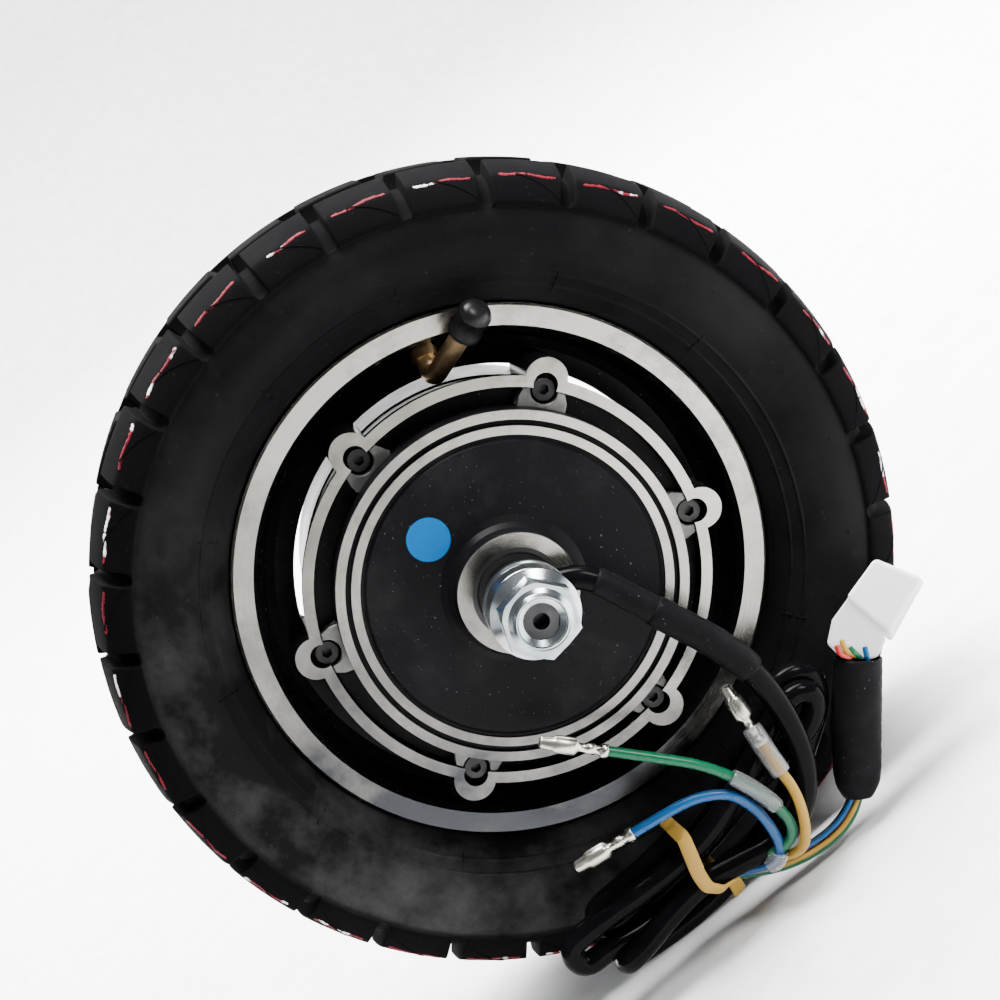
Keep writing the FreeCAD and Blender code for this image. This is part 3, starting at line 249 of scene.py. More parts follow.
def painted_casting(name, paint, zones, lug_zone=None):
    """Black painted casting with machined rings, and bare metal in lug_zone.

    The machined colour runs from dark to bright across the wheel, in place of reflections.
    """
    material = new_material(name, paint, 0.3, Specular_IOR_Level=0.04)
    tree = Tree(material)
    radius, depth, facing, x, z = tree.axes()
    flat = tree.spread(tree.math("ABSOLUTE", facing), 0.55, 0.75)
    bright = None
    for zone in zones:
        part = tree.ring(radius, depth, zone, 0.00012)
        bright = part if bright is None else tree.math("MAXIMUM", bright, part)
    bright = tree.times(bright, flat)
    cloud = tree.noise(24.0, 5.0, 0.65)
    rings = tree.lathe(radius, 5200.0)
    # painted reflection: the machined metal runs from dark at the lower left of the wheel to bright at the upper
    # right
    painted_reflection = tree.plus(tree.times(x, 0.63), tree.times(z, 0.78))
    painted_reflection = tree.plus(painted_reflection, tree.spread(cloud, 0.3, 0.7, -0.03, 0.03))
    metal = tree.mix(tree.spread(painted_reflection, -0.07, 0.05), (0.026, 0.028, 0.032), (0.47, 0.445, 0.40))
    metal = tree.mix(tree.spread(tree.noise(60.0, 5.0, 0.7), 0.5, 0.72, 0.0, 0.5), metal, (0.06, 0.056, 0.052))
    metal = tree.mix(tree.spread(rings, 0.3, 0.75, 0.0, 0.4), metal, (0.05, 0.05, 0.05))
    speck = tree.spread(tree.noise(1300.0, 1.0, 0.3), 0.77, 0.80)
    dull = tree.mix(tree.times(speck, 0.2), paint, (0.30, 0.30, 0.31))
    smear = tree.spread(tree.noise(35.0, 5.0, 0.7), 0.52, 0.75, 0.0, 0.35)
    dull = tree.mix(smear, dull, tuple(channel + 0.018 for channel in paint))
    if lug_zone:
        lug = tree.ring(radius, depth, lug_zone, 0.0001)
        cast = tree.mix(tree.spread(tree.noise(140.0, 4.0), 0.3, 0.7), (0.22, 0.22, 0.22), (0.38, 0.375, 0.36))
        dull = tree.mix(lug, dull, cast)
        metallic = tree.math("MAXIMUM", bright, tree.times(lug, 0.75))
        paint_rough = tree.spread(lug, 0.0, 1.0, 0.33, 0.5)
    else:
        metallic = bright
        paint_rough = 0.22
    tree.set("Base Color", tree.mix(bright, dull, metal))
    tree.set("Metallic", metallic)
    turned = tree.spread(rings, 0.3, 0.7, 0.16, 0.30)
    haze = tree.plus(turned, tree.spread(cloud, 0.35, 0.75, -0.04, 0.1))
    base_rough = tree.plus(paint_rough, tree.spread(tree.noise(60.0, 5.0), 0.3, 0.7, -0.05, 0.09))
    rough = tree.plus(tree.times(bright, haze),
                      tree.times(tree.math("SUBTRACT", 1.0, bright), base_rough))
    tree.set("Roughness", rough)
    turned_bump = tree.bump(tree.times(rings, bright), 0.35, 0.00003)
    peel = tree.bump(tree.noise(420.0, 3.0), 0.12, 0.00008, turned_bump)
    tree.set("Normal", peel)
    return material


def turned_metal(name, colour, roughness, tint=None, ring_scale=4200.0, scratch=0.3):
    """Lathe-turned or plated metal with fine rings and a cloudy tint."""
    material = new_material(name, colour, roughness, 1.0)
    tree = Tree(material)
    radius = tree.axes()[0]
    rings = tree.lathe(radius, ring_scale)
    cloud = tree.noise(90.0, 5.0, 0.65)
    other = tint or tuple(channel * 0.72 for channel in colour)
    tree.set("Base Color", tree.mix(tree.spread(cloud, 0.35, 0.68), colour, other))
    tree.set("Roughness", tree.plus(tree.spread(cloud, 0.3, 0.75, roughness * 0.75, roughness * 1.5),
                                    tree.spread(rings, 0.3, 0.7, -0.03, 0.05)))
    nicks = tree.noise(260.0, 3.0, 0.6, stretch=(1.0, 0.25, 1.0))
    tree.set("Normal", tree.bump(nicks, 0.3 * scratch, 0.00006, tree.bump(rings, scratch, 0.00003)))
    return material


def rubber_tyre():
    """Moulded tyre rubber: satin black, finely pitted, with grey smudges on the front side that gather at the
    lower left as a painted sheen, and tread blocks painted darker than the sidewall as shade.
    """
    material = new_material("tyre_rubber_look", (0.006, 0.006, 0.0065), 0.7, Specular_IOR_Level=0.02)
    tree = Tree(material)
    radius, depth, _, x, z = tree.axes()
    smear = tree.spread(tree.noise(15.0, 6.0, 0.68), 0.42, 0.68)
    # partly smudges, partly painted sheen: the grey haze is strongest towards the lower left of the wheel, where
    # it stands in for the floor's reflection
    painted_sheen_side = tree.spread(tree.plus(x, tree.times(z, 0.45)), -0.02, -0.09)
    haze = tree.times(smear, tree.plus(tree.times(painted_sheen_side, 0.86), 0.14))
    side = tree.spread(radius, 0.114, 0.112)
    haze = tree.times(haze, tree.times(side, tree.spread(depth, -0.005, 0.02, 0.2, 1.0)))
    # painted shade: the tread blocks get darker rubber than the sidewall, to offset the overhead lamp's glancing
    # light
    ground = tree.mix(side, (0.0021, 0.0021, 0.0024), (0.0036, 0.0036, 0.0040))
    colour = tree.mix(haze, ground, (0.040, 0.040, 0.041))
    dust = tree.spread(tree.noise(900.0, 2.0, 0.5), 0.70, 0.80, 0.0, 0.22)
    tree.set("Base Color", tree.mix(dust, colour, (0.08, 0.08, 0.08)))
    rough = tree.spread(tree.noise(45.0, 5.0, 0.6), 0.3, 0.7, 0.40, 0.55)
    rough = tree.plus(rough, tree.spread(side, 1.0, 0.0, 0.0, 0.38))
    tree.set("Roughness", tree.math("SUBTRACT", rough, tree.times(haze, 0.06)))
    pits = tree.noise(1500.0, 3.0, 0.6)
    flow = tree.noise(70.0, 4.0, 0.6)
    tree.set("Normal", tree.bump(pits, 0.22, 0.00008, tree.bump(flow, 0.12, 0.0005)))
    return material


def plastic(name, colour, roughness, scale=300.0, spread=0.12, bump=0.15, **sockets):
    material = new_material(name, colour, roughness, 0.0, **sockets)
    return grain(material, scale, spread, 0.06, 0.00005, bump)


def sheath():
    """Glossy PVC cable sheath with fingermarks."""
    material = new_material("cable_sheath_look", (0.004, 0.004, 0.004), 0.2, Specular_IOR_Level=0.03)
    tree = Tree(material)
    marks = tree.spread(tree.noise(60.0, 6.0, 0.7), 0.42, 0.7)
    tree.set("Base Color", tree.mix(tree.times(marks, 0.5), (0.0014, 0.0014, 0.0017), (0.0045, 0.0045, 0.005)))
    tree.set("Roughness", tree.spread(marks, 0.0, 1.0, 0.10, 0.20))
    tree.set("Normal", tree.bump(tree.noise(120.0, 3.0), 0.08, 0.0003))
    return material


def shrink():
    """Heat-shrink tube: matt, finely wrinkled where it has pulled tight."""
    material = new_material("heat_shrink_look", (0.006, 0.006, 0.007), 0.5, Specular_IOR_Level=0.03)
    tree = Tree(material)
    wear = tree.spread(tree.noise(130.0, 5.0, 0.7), 0.5, 0.75, 0.0, 0.6)
    specks = tree.spread(tree.noise(1700.0, 1.0, 0.3), 0.77, 0.80)
    colour = tree.mix(wear, (0.0030, 0.0030, 0.0034), (0.007, 0.0072, 0.008))
    tree.set("Base Color", tree.mix(tree.times(specks, 0.35), colour, (0.3, 0.3, 0.3)))
    tree.set("Roughness", tree.spread(wear, 0.0, 0.6, 0.5, 0.38))
    fine = tree.bump(tree.noise(1400.0, 3.0), 0.2, 0.00006)
    tree.set("Normal", tree.bump(tree.noise(160.0, 4.0), 0.25, 0.0004, fine))
    return material


def brass():
    """Aged brass: brown patches over a dull yellow ground."""
    material = new_material("aged_brass_look", (0.42, 0.29, 0.15), 0.4, 1.0)
    tree = Tree(material)
    patina = tree.spread(tree.noise(210.0, 6.0, 0.7), 0.38, 0.66)
    tree.set("Base Color", tree.mix(patina, (0.86, 0.62, 0.33), (0.55, 0.36, 0.19)))
    tree.set("Roughness", tree.spread(patina, 0.0, 1.0, 0.30, 0.52))
    tree.set("Normal", tree.bump(tree.noise(600.0, 4.0), 0.25, 0.00012))
    return material


def clear_pvc():
    """Milky clear sleeve."""
    material = new_material("clear_sleeve_look", (0.93, 0.94, 0.96), 0.16, 0.0, IOR=1.42,
                            Transmission_Weight=0.94, Specular_IOR_Level=0.5)
    tree = Tree(material)
    cloud = tree.spread(tree.noise(240.0, 5.0, 0.7), 0.35, 0.7)
    tree.set("Base Color", tree.mix(cloud, (0.97, 0.975, 0.985), (0.88, 0.89, 0.91)))
    tree.set("Roughness", tree.spread(cloud, 0.0, 1.0, 0.10, 0.24))
    tree.set("Normal", tree.bump(tree.noise(130.0, 2.0), 0.2, 0.0003))
    return material


def nylon(name, colour, transmission, sheer):
    material = new_material(name, colour, 0.42, 0.0, Transmission_Weight=transmission, IOR=1.5,
                            Subsurface_Weight=sheer, Subsurface_Radius=(0.004, 0.004, 0.004))
    tree = Tree(material)
    cloud = tree.spread(tree.noise(110.0, 4.0, 0.6), 0.3, 0.7)
    darker = tuple(channel * 0.92 for channel in colour)
    tree.set("Base Color", tree.mix(cloud, colour, darker))
    tree.set("Roughness", tree.spread(cloud, 0.0, 1.0, 0.34, 0.5))
    tree.set("Normal", tree.bump(tree.noise(900.0, 3.0), 0.12, 0.00008))
    return material


def paint_line():
    """Hand-dabbed red paint, white where the underlay shows."""
    material = new_material("tread_paint_look", (0.62, 0.10, 0.11), 0.55, Specular_IOR_Level=0.08)
    tree = Tree(material)
    white = tree.spread(tree.noise(95.0, 2.0, 0.5), 0.60, 0.64)
    worn = tree.spread(tree.noise(800.0, 4.0, 0.7), 0.30, 0.62)
    red = tree.mix(worn, (0.05, 0.002, 0.005), (0.14, 0.008, 0.017))
    tree.set("Base Color", tree.mix(white, red, (0.86, 0.84, 0.83)))
    tree.set("Normal", tree.bump(tree.noise(1500.0, 3.0), 0.4, 0.0001))
    return material


# ---------------------------------------------------------------- mesh helpers
def add_mesh(name, points, faces, material, body, smooth=True):
    """A mesh piece from points in millimetres, written (x, depth, z)."""
    mesh = bpy.data.meshes.new(name)
    array = np.asarray(points, float)
    array = np.stack([array[:, 0], -array[:, 1], array[:, 2]], 1) * MM
    mesh.from_pydata(array.tolist(), [], [tuple(int(i) for i in face) for face in faces])
    mesh.materials.append(material)
    if smooth:
        mesh.shade_smooth()
    mesh.validate()
    piece = bpy.data.objects.new(name, mesh)
    bpy.context.collection.objects.link(piece)
    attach(piece, body)
    return piece


def grid_faces(rows, columns):
    """Quads over a grid of points stored row by row, whose columns wrap round."""
    row, column = np.meshgrid(np.arange(rows - 1), np.arange(columns), indexing="ij")
    after = (column + 1) % columns
    quads = np.stack([row * columns + column, row * columns + after,
                      (row + 1) * columns + after, (row + 1) * columns + column], -1)
    return quads.reshape(-1, 4).tolist()


def end_caps(rows, columns):
    """The two end faces of a grid that wraps round."""
    return [tuple(range(columns))[::-1], tuple((rows - 1) * columns + i for i in range(columns))]


def closing_faces(rows, columns):
    """Quads that join a grid's last row to its first."""
    last = (rows - 1) * columns
    return [(last + i, last + (i + 1) % columns, (i + 1) % columns, i) for i in range(columns)]


def strip_sides(base, steps):
    """The side quads of a four-cornered strip whose points start at base."""
    return [(first, second, second + 4, first + 4) for step in range(steps) for side in range(4)
            for first, second in [(base + step * 4 + side, base + step * 4 + (side + 1) % 4)]]


def centreline(curve):
    """Points along a curve's own line, in millimetres as (x, depth, z)."""
    bare = curve.data.copy()
    bare.bevel_depth = 0
    probe = bpy.data.objects.new("probe", bare)
    bpy.context.collection.objects.link(probe)
    mesh = bpy.data.meshes.new_from_object(probe)
    line = [(v.co.x / MM, -v.co.y / MM, v.co.z / MM) for v in mesh.vertices]
    bpy.data.objects.remove(probe)
    bpy.data.meshes.remove(mesh)
    bpy.data.curves.remove(bare)
    return np.array(line)


def run_of(line, start, end, steps):
    """Evenly spaced points on a line between two distances along it, and the unit tangents there."""
    leaps = np.linalg.norm(np.diff(line, axis=0), axis=1)
    along = np.concatenate([[0], np.cumsum(leaps)])
    wanted = np.linspace(start, end, steps)
    points = np.stack([np.interp(wanted, along, line[:, axis]) for axis in range(3)], 1)
    ahead = np.stack([np.interp(wanted + 0.4, along, line[:, axis]) for axis in range(3)], 1)
    behind = np.stack([np.interp(wanted - 0.4, along, line[:, axis]) for axis in range(3)], 1)
    tangents = ahead - behind
    return points, tangents / np.linalg.norm(tangents, axis=1)[:, None]


def sweep(centres, tangents, wide, deep, segments=40, noise=0.0, inner=None, seed=1):
    """Points and faces of a closed tube with an oval section; inner gives it a hollow of that share."""
    chance = np.random.RandomState(seed)
    angles = np.linspace(0, 2 * math.pi, segments, endpoint=False)
    rings = []
    passes = [(1.0, range(len(centres)))]
    if inner:
        passes.append((inner, range(len(centres) - 1, -1, -1)))
    ripple = chance.rand(len(centres), segments) - 0.5
    ripple = (ripple + np.roll(ripple, 1, 1) + np.roll(ripple, -1, 1)) / 3
    for share, order in passes:
        for index in order:
            tangent = tangents[index]
            side = np.cross(tangent, (0, 1, 0))
            side /= np.linalg.norm(side)
            front = np.cross(side, tangent)
            wobble = 1 + noise * ripple[index]
            ring = (centres[index] + np.outer(np.cos(angles) * wobble, side) * wide[index] * share
                    + np.outer(np.sin(angles) * wobble, front) * deep[index] * share)
            rings.append(ring)
    count = len(rings)
    points = np.concatenate(rings)
    faces = grid_faces(count, segments)
    faces += closing_faces(count, segments) if inner else end_caps(count, segments)
    return points, faces


def turned_piece(profile, origin, axis, segments=96, ridges=None):
    """Points and faces of a solid turned about an axis, from (along, radius) pairs; ridges scales the radius."""
    axis = np.array(axis) / np.linalg.norm(axis)
    side = np.cross(axis, (0.0, 0.0, 1.0))
    side /= np.linalg.norm(side)
    other = np.cross(axis, side)
    angles = np.linspace(0, 2 * math.pi, segments, endpoint=False)
    points = []
    for index, (along, radius) in enumerate(profile):
        scale = ridges(index, angles) if ridges else np.zeros(segments)
        reach = radius + scale
        points.append(np.array(origin) + axis * along + np.outer(np.cos(angles) * reach, side)
                      + np.outer(np.sin(angles) * reach, other))
    count = len(profile)
    return np.concatenate(points), grid_faces(count, segments) + end_caps(count, segments)


def bevel(piece, width, segments=3):
    modifier = piece.modifiers.new("bevel", "BEVEL")
    modifier.width = width * MM
    modifier.segments = segments
    modifier.limit_method = "ANGLE"
    modifier.angle_limit = math.radians(35)
    return piece


# ---------------------------------------------------------------- cords
LEAD = [(8.6, 61.6, -1.2), (15.0, 63.2, -2.6), (21.0, 65.0, -9.4), (25.4, 66.8, -20.5),
        (31.0, 67.8, -33.5), (36.0, 68.4, -45.0), (39.8, 68.6, -59.5), (39.6, 68.4, -76.0), (35.2, 68.2, -93.0),
        (26.5, 67.2, -104.8), (13.0, 66.0, -108.8), (0.0, 65.4, -105.8), (-12.0, 65.0, -103.4),
        (-25.0, 64.8, -105.2)]
TURN_LEFT = [(-36.5, 65.2, -107.8), (-44.6, 64.2, -109.4), (-45.8, 57.4, -111.8), (-37.0, 54.4, -114.2)]
LOOP_BACK = [(-23.0, 54.3, -115.2), (-9.0, 54.4, -114.4), (5.0, 54.6, -111.2), (19.0, 54.6, -106.2),
             (32.0, 54.4, -99.6), (43.0, 54.2, -92.2), (51.4, 54.2, -85.2), (54.2, 54.2, -77.4),
             (48.2, 54.2, -72.6), (38.0, 54.2, -74.6), (25.0, 54.2, -80.2), (10.0, 54.2, -86.4),
             (-6.0, 54.2, -90.8), (-20.0, 54.2, -92.8), (-33.0, 54.2, -93.2), (-44.4, 54.4, -93.2),
             (-44.4, 54.4, -101.0), (-33.0, 54.3, -101.0)]
LOOP_FRONT = [(-16.0, 54.3, -100.4), (0.0, 54.4, -98.4), (14.0, 55.0, -94.6), (27.0, 57.0, -91.0),
              (38.0, 59.8, -89.6), (47.0, 60.8, -85.8), (50.6, 61.0, -79.6), (45.4, 60.8, -75.8),
              (36.0, 60.8, -78.8), (24.0, 61.6, -84.2), (10.0, 62.2, -90.2), (-5.0, 62.2, -94.6),
              (-20.0, 62.0, -95.6), (-36.0, 61.8, -94.6), (-48.0, 61.2, -94.0), (-56.8, 60.6, -94.8),
              (-56.8, 60.2, -103.6), (-47.0, 60.0, -103.6), (-39.5, 58.8, -105.6), (-32.0, 56.4, -107.2),
              (-22.0, 54.8, -107.9), (-12.0, 55.6, -108.0), (-5.0, 57.0, -108.6)]
BLUE = [(-6.0, 57.4, -109.4), (2.4, 63.0, -111.6), (9.6, 70.2, -112.0), (14.2, 72.0, -106.6),
        (15.0, 71.0, -94.5), (11.6, 71.0, -84.0), (2.4, 70.0, -78.6), (-8.0, 68.4, -77.2),
        (-20.6, 66.0, -76.4)]
GREEN = [(-6.0, 58.2, -107.8), (3.0, 62.4, -106.8), (12.0, 70.6, -109.4), (20.0, 74.6, -105.4),
         (20.2, 74.4, -95.0), (16.6, 72.4, -83.0), (10.4, 71.0, -71.8), (2.0, 69.0, -62.6),
         (-10.4, 66.4, -49.6)]
YELLOW = [(-6.0, 57.8, -108.2), (3.0, 60.6, -109.8), (11.0, 67.0, -112.6), (18.5, 75.0, -111.8),
          (23.6, 77.0, -104.0), (27.2, 75.4, -94.6), (27.2, 73.2, -85.0), (28.2, 70.6, -76.4)]
HALL = [(-5.0, 57.6, -109.4), (5.0, 60.6, -114.6), (13.0, 60.4, -118.4), (22.0, 59.4, -120.8),
        (31.0, 58.8, -121.2), (38.5, 58.2, -118.8), (44.0, 57.8, -114.6), (49.0, 57.0, -107.6),
        (54.5, 56.4, -100.0), (60.5, 56.0, -91.4), (66.0, 55.8, -82.6)]
HALL_SPREAD = [("red", 0.1, -0.7), ("yellow", -0.5, 1.1), ("green", -2.0, 0.3), ("blue", 1.6, 0.7),
               ("black", 0.9, -2.3)]


CABLE_RADIUS, PHASE_RADIUS, HALL_RADIUS = 3.75, 1.6, 0.8


def cord_curve(name, route, radius, material):
    """A round cord as one open NURBS spline through its route's control points."""
    data = bpy.data.curves.new(name, "CURVE")
    data.dimensions = "3D"
    data.bevel_depth = radius * MM
    data.bevel_resolution = 7
    data.use_fill_caps = True
    data.resolution_u = 14
    spline = data.splines.new("NURBS")
    spline.points.add(len(route) - 1)
    for point, place in zip(spline.points, route):
        point.co = (*at(*place), 1.0)
    spline.order_u = 3
    spline.use_endpoint_u = True
    spline.resolution_u = 14
    data.materials.append(material)
    piece = bpy.data.objects.new(name, data)
    bpy.context.collection.objects.link(piece)
    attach(piece, "axle")
    return piece


def smooth_line(points, steps=24):
    """Catmull-Rom curve through the points."""
    source = np.array([points[0], *points, points[-1]], float)
    out = []
    for index in range(1, len(source) - 2):
        before, first, second, after = source[index - 1:index + 3]
        for share in np.linspace(0, 1, steps, endpoint=False):
            out.append(0.5 * (2 * first + (second - before) * share
                              + (2 * before - 5 * first + 4 * second - after) * share**2
                              + (3 * first - before - 3 * second + after) * share**3))
    out.append(source[-2])
    return np.array(out)


def length_of(line):
    return float(np.linalg.norm(np.diff(line, axis=0), axis=1).sum())


make_camera()
make_light()
make_floor()

shrink_look, sheath_look = shrink(), sheath()
clear_look = clear_pvc()
tin_look = turned_metal("tinned_brass_look", (0.56, 0.54, 0.48), 0.27, (0.36, 0.34, 0.29), 2600.0, 0.1)
wire_looks = {
    "blue": plastic("wire_blue_look", (0.003, 0.050, 0.155), 0.3, Specular_IOR_Level=0.25),
    "green": plastic("wire_green_look", (0.0, 0.070, 0.030), 0.3, Specular_IOR_Level=0.25),
    "yellow": plastic("wire_yellow_look", (0.27, 0.155, 0.018), 0.32, Specular_IOR_Level=0.25),
    "red": plastic("wire_red_look", (0.30, 0.006, 0.006), 0.32, Specular_IOR_Level=0.35),
    "black": plastic("wire_black_look", (0.012, 0.012, 0.012), 0.34)}

cable = cord_curve("motor_cable", LEAD + TURN_LEFT + LOOP_BACK + LOOP_FRONT, CABLE_RADIUS, sheath_look)
cable_line = centreline(cable)
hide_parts("cable_lead", "cable_hank")


def sleeve_on(line, name, start, end, radius, material, node, ends=0.0, inner=None, noise=0.02):
    """A sleeve that follows a cord between two distances along it, past its end if need be."""
    way = line[-1] - line[-3]
    line = np.concatenate([line, [line[-1] + way / np.linalg.norm(way) * 8.0]])
    steps = max(8, int((end - start) / 0.6))
    centres, tangents = run_of(line, start, end, steps)
    share = np.linspace(0, 1, steps)
    taper = 1 - ends * np.exp(-np.minimum(share, 1 - share) * (end - start) / 0.7)
    radii = radius * taper
    points, faces = sweep(centres, tangents, radii, radii, noise=noise, inner=inner, seed=len(name))
    piece = add_mesh(name, points, faces, material, "axle")
    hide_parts(node)
    return piece


thin_sleeve = sleeve_on(cable_line, "lead_shrink_thin", 14.0, 40.0, 4.25, shrink_look,
                        "lead_sleeve_thin", ends=0.05)
thick_sleeve = sleeve_on(cable_line, "lead_shrink_thick", 33.0, 68.5, 4.8, shrink_look,
                         "lead_sleeve_thick", ends=0.08)


def rubber_band():
    """Stretched band round the strands: a flat strip that follows their outline."""
    outline = [(-7.8, 70.4, -86.2), (-9.2, 71.2, -91.0), (-11.2, 71.4, -98.0), (-11.6, 71.0, -103.4),
               (-8.6, 69.4, -107.6), (-4.9, 66.6, -108.8), (-4.1, 62.2, -110.8), (-4.8, 56.8, -117.8),
               (-6.0, 50.8, -118.6), (-7.0, 49.4, -108.0), (-9.0, 49.4, -96.0), (-9.0, 50.0, -87.6),
               (-9.0, 56.0, -84.0), (-8.6, 65.0, -83.0)]
    count = 180
    closed = np.array(outline + outline[:1])
    line = run_of(closed, 0, length_of(closed), count + 1)[0][:-1]
    for _ in range(5):
        line = (np.roll(line, 1, 0) + line * 2 + np.roll(line, -1, 0)) / 4
    tangents = np.roll(line, -1, 0) - np.roll(line, 1, 0)
    tangents /= np.linalg.norm(tangents, axis=1)[:, None]
    centre = line.mean(0)
    rings = []
    for index in range(count):
        outward = line[index] - centre
        outward[0] = 0
        across = np.cross(tangents[index], outward)
        across /= np.linalg.norm(across)
        out = np.cross(across, tangents[index])
        twist = 0.25 * math.sin(index * 0.045)
        side = across * math.cos(twist) + out * math.sin(twist)
        lift = out * math.cos(twist) - across * math.sin(twist)
        if np.dot(lift, outward) < 0:
            lift = -lift
        half, thick = 2.15 + 0.12 * math.sin(index * 0.11), 0.62
        section = [(-half, -0.5 * thick), (-half, 0.4 * thick), (-half * 0.8, thick), (0, 0.9 * thick),
                   (half * 0.8, thick), (half, 0.4 * thick), (half, -0.5 * thick), (0, -0.7 * thick)]
        rings.append([line[index] + side * a + lift * b for a, b in section])
    points = np.array(rings).reshape(-1, 3)
    faces = grid_faces(count, len(section)) + closing_faces(count, len(section))
    look = plastic("band_rubber_look", (0.31, 0.18, 0.024), 0.5, 160.0, 0.2, 0.4, Specular_IOR_Level=0.3)
    band = add_mesh("tie_band", points, faces, look, "axle")
    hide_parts("rubber_band")
    return band


band = rubber_band()


def bullet(colour, line):
    """Crimped bullet terminal: strand crimp, neck and a rolled barrel with an open seam."""
    end = line[-1]
    way = line[-1] - line[-3]
    way /= np.linalg.norm(way)
    profile = [(-2.2, 0.3), (-2.2, 1.95), (-1.9, 2.15), (-0.2, 2.2), (0.1, 1.7), (1.0, 1.35), (1.6, 1.3),
               (1.8, 1.75), (4.2, 1.8), (4.5, 1.35), (6.6, 1.4), (7.4, 2.5), (7.9, 2.75), (13.4, 2.75),
               (14.0, 2.55), (14.6, 2.1), (17.6, 1.9), (18.4, 1.6), (18.6, 1.0), (18.0, 0.7), (14.0, 0.7)]

    def ridges(index, angles):
        along = profile[index][0]
        flat = -0.35 * np.abs(np.cos(angles)) if 1.7 < along < 4.3 else 0.0 * angles
        seam = np.exp(-((angles - 4.9) / 0.11) ** 2)
        return flat - (0.45 * seam if along > 7.3 and along < 17.7 else 0.0)
    points, faces = turned_piece(profile, end, way, 72, ridges)
    piece = add_mesh(f"bullet_{colour}_terminal", points, faces, tin_look, "axle")
    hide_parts(f"bullet_{colour}")
    return piece


sleeve_runs = {"blue": (17.5, 24.0, 2.9), "green": (40.0, 57.0, 2.55), "yellow": (56.0, 72.5, 3.1)}
for colour, route in (("blue", BLUE), ("green", GREEN), ("yellow", YELLOW)):
    wire = cord_curve(f"phase_lead_{colour}", route, PHASE_RADIUS, wire_looks[colour])
    line = centreline(wire)
    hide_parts(f"phase_wire_{colour}")
    start, end, radius = sleeve_runs[colour]
    cover = sleeve_on(line, f"clear_sleeve_{colour}", start, end, radius, clear_look,
                      f"bullet_sleeve_{colour}", ends=0.08, inner=0.84, noise=0.05)
    terminal = bullet(colour, line)


def hall_sleeve():
    """Heat-shrink sleeve over the hall wires, open at the plug."""
    spine = np.array([(42.0, 57.6, -117.6), (44.4, 57.4, -114.0), (49.0, 56.8, -107.6), (54.5, 56.2, -100.0),
                      (61.0, 55.8, -91.8), (68.2, 55.4, -82.6)])
    total = length_of(spine)
    steps = 46
    centres, tangents = run_of(spine, 0, total, steps)
    for _ in range(6):
        centres[1:-1] = (centres[:-2] + centres[1:-1] * 2 + centres[2:]) / 4
    share = np.linspace(0, 1, steps)
    wide = np.interp(share, [0, 0.04, 0.1, 0.2, 0.5, 1.0], [4.4, 5.6, 6.9, 7.6, 7.9, 7.6])
    deep = np.interp(share, [0, 0.04, 0.1, 0.2, 0.5, 1.0], [3.8, 4.6, 5.6, 6.0, 6.3, 6.6])
    points, faces = sweep(centres, tangents, wide, deep, 56, noise=0.035, inner=0.9, seed=5)
    sleeve = add_mesh("plug_shrink", points, faces, shrink_look, "axle")
    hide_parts("hall_sleeve")
    return sleeve


def slab(name, outline, back_outline, front, back, material, round_off):
    """A block between a front and a back outline, each in (x, z)."""
    count = len(outline)
    points = [(x, front, z) for x, z in outline] + [(x, back, z) for x, z in back_outline]
    faces = [tuple(range(count)), tuple(range(2 * count - 1, count - 1, -1))]
    faces += [(i, i + count, (i + 1) % count + count, (i + 1) % count) for i in range(count)]
    piece = add_mesh(name, points, faces, material, "axle", smooth=False)
    return bevel(piece, round_off, 5)


plug_sleeve = hall_sleeve()
receptacle_look = nylon("clear_nylon_look", (0.93, 0.93, 0.97), 0.35, 0.45)
housing_look = nylon("white_nylon_look", (0.96, 0.96, 0.95), 0.0, 0.5)
receptacle = slab(
    "hall_receptacle",
    [(77.3, -63.6), (68.4, -66.2), (62.8, -71.2), (63.5, -77.2), (70.6, -84.2), (72.8, -84.9),
     (77.6, -82.2), (82.8, -74.4)],
    [(79.1, -68.5), (69.8, -70.8), (64.3, -75.5), (64.9, -81.8), (71.8, -88.0), (74.3, -89.0),
     (78.6, -86.7), (83.9, -79.7)],
    59.4, 49.4, receptacle_look, 1.0)
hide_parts("connector_receptacle")
housing = slab(
    "hall_housing", [(75.7, -62.8), (89.6, -58.8), (97.5, -72.8), (79.7, -80.3)],
    [(77.4, -68.5), (91.7, -64.4), (100.0, -79.9), (79.8, -88.8)], 61.2, 48.4, housing_look, 1.4)
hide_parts("connector_housing")
for colour, path in (("red", [(64.9, 59.3, -73.6), (64.2, 59.9, -76.2), (65.8, 59.2, -79.6)]),
                     ("yellow", [(67.0, 59.0, -73.4), (66.2, 59.8, -76.4), (67.2, 58.8, -80.0)]),
                     ("green", [(67.6, 59.2, -76.8), (67.8, 59.8, -78.8), (68.4, 58.8, -81.6)]),
                     ("blue", [(71.4, 59.2, -79.8), (70.4, 59.8, -81.8), (69.4, 58.8, -84.2)])):
    spine = smooth_line([(x, z) for x, _, z in path], 8)
    depths = np.interp(np.linspace(0, 1, len(spine)), [0, 0.5, 1], [point[1] for point in path])
    line = np.stack([spine[:, 0], depths, spine[:, 1]], 1)
    centres, tangents = run_of(line, 0, length_of(line), 14)
    radii = np.full(14, 0.85)
    points, faces = sweep(centres, tangents, radii, radii, 18)
    add_mesh(f"plug_wire_{colour}", points, faces, wire_looks[colour], "axle")
for colour, upward, forward in HALL_SPREAD:
    route = [(x, depth + forward, z + upward) for x, depth, z in HALL]
    wire = cord_curve(f"hall_lead_{colour}", route, HALL_RADIUS, wire_looks[colour])
    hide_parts(f"hall_wire_{colour}")
    length_of(centreline(wire)) * MM


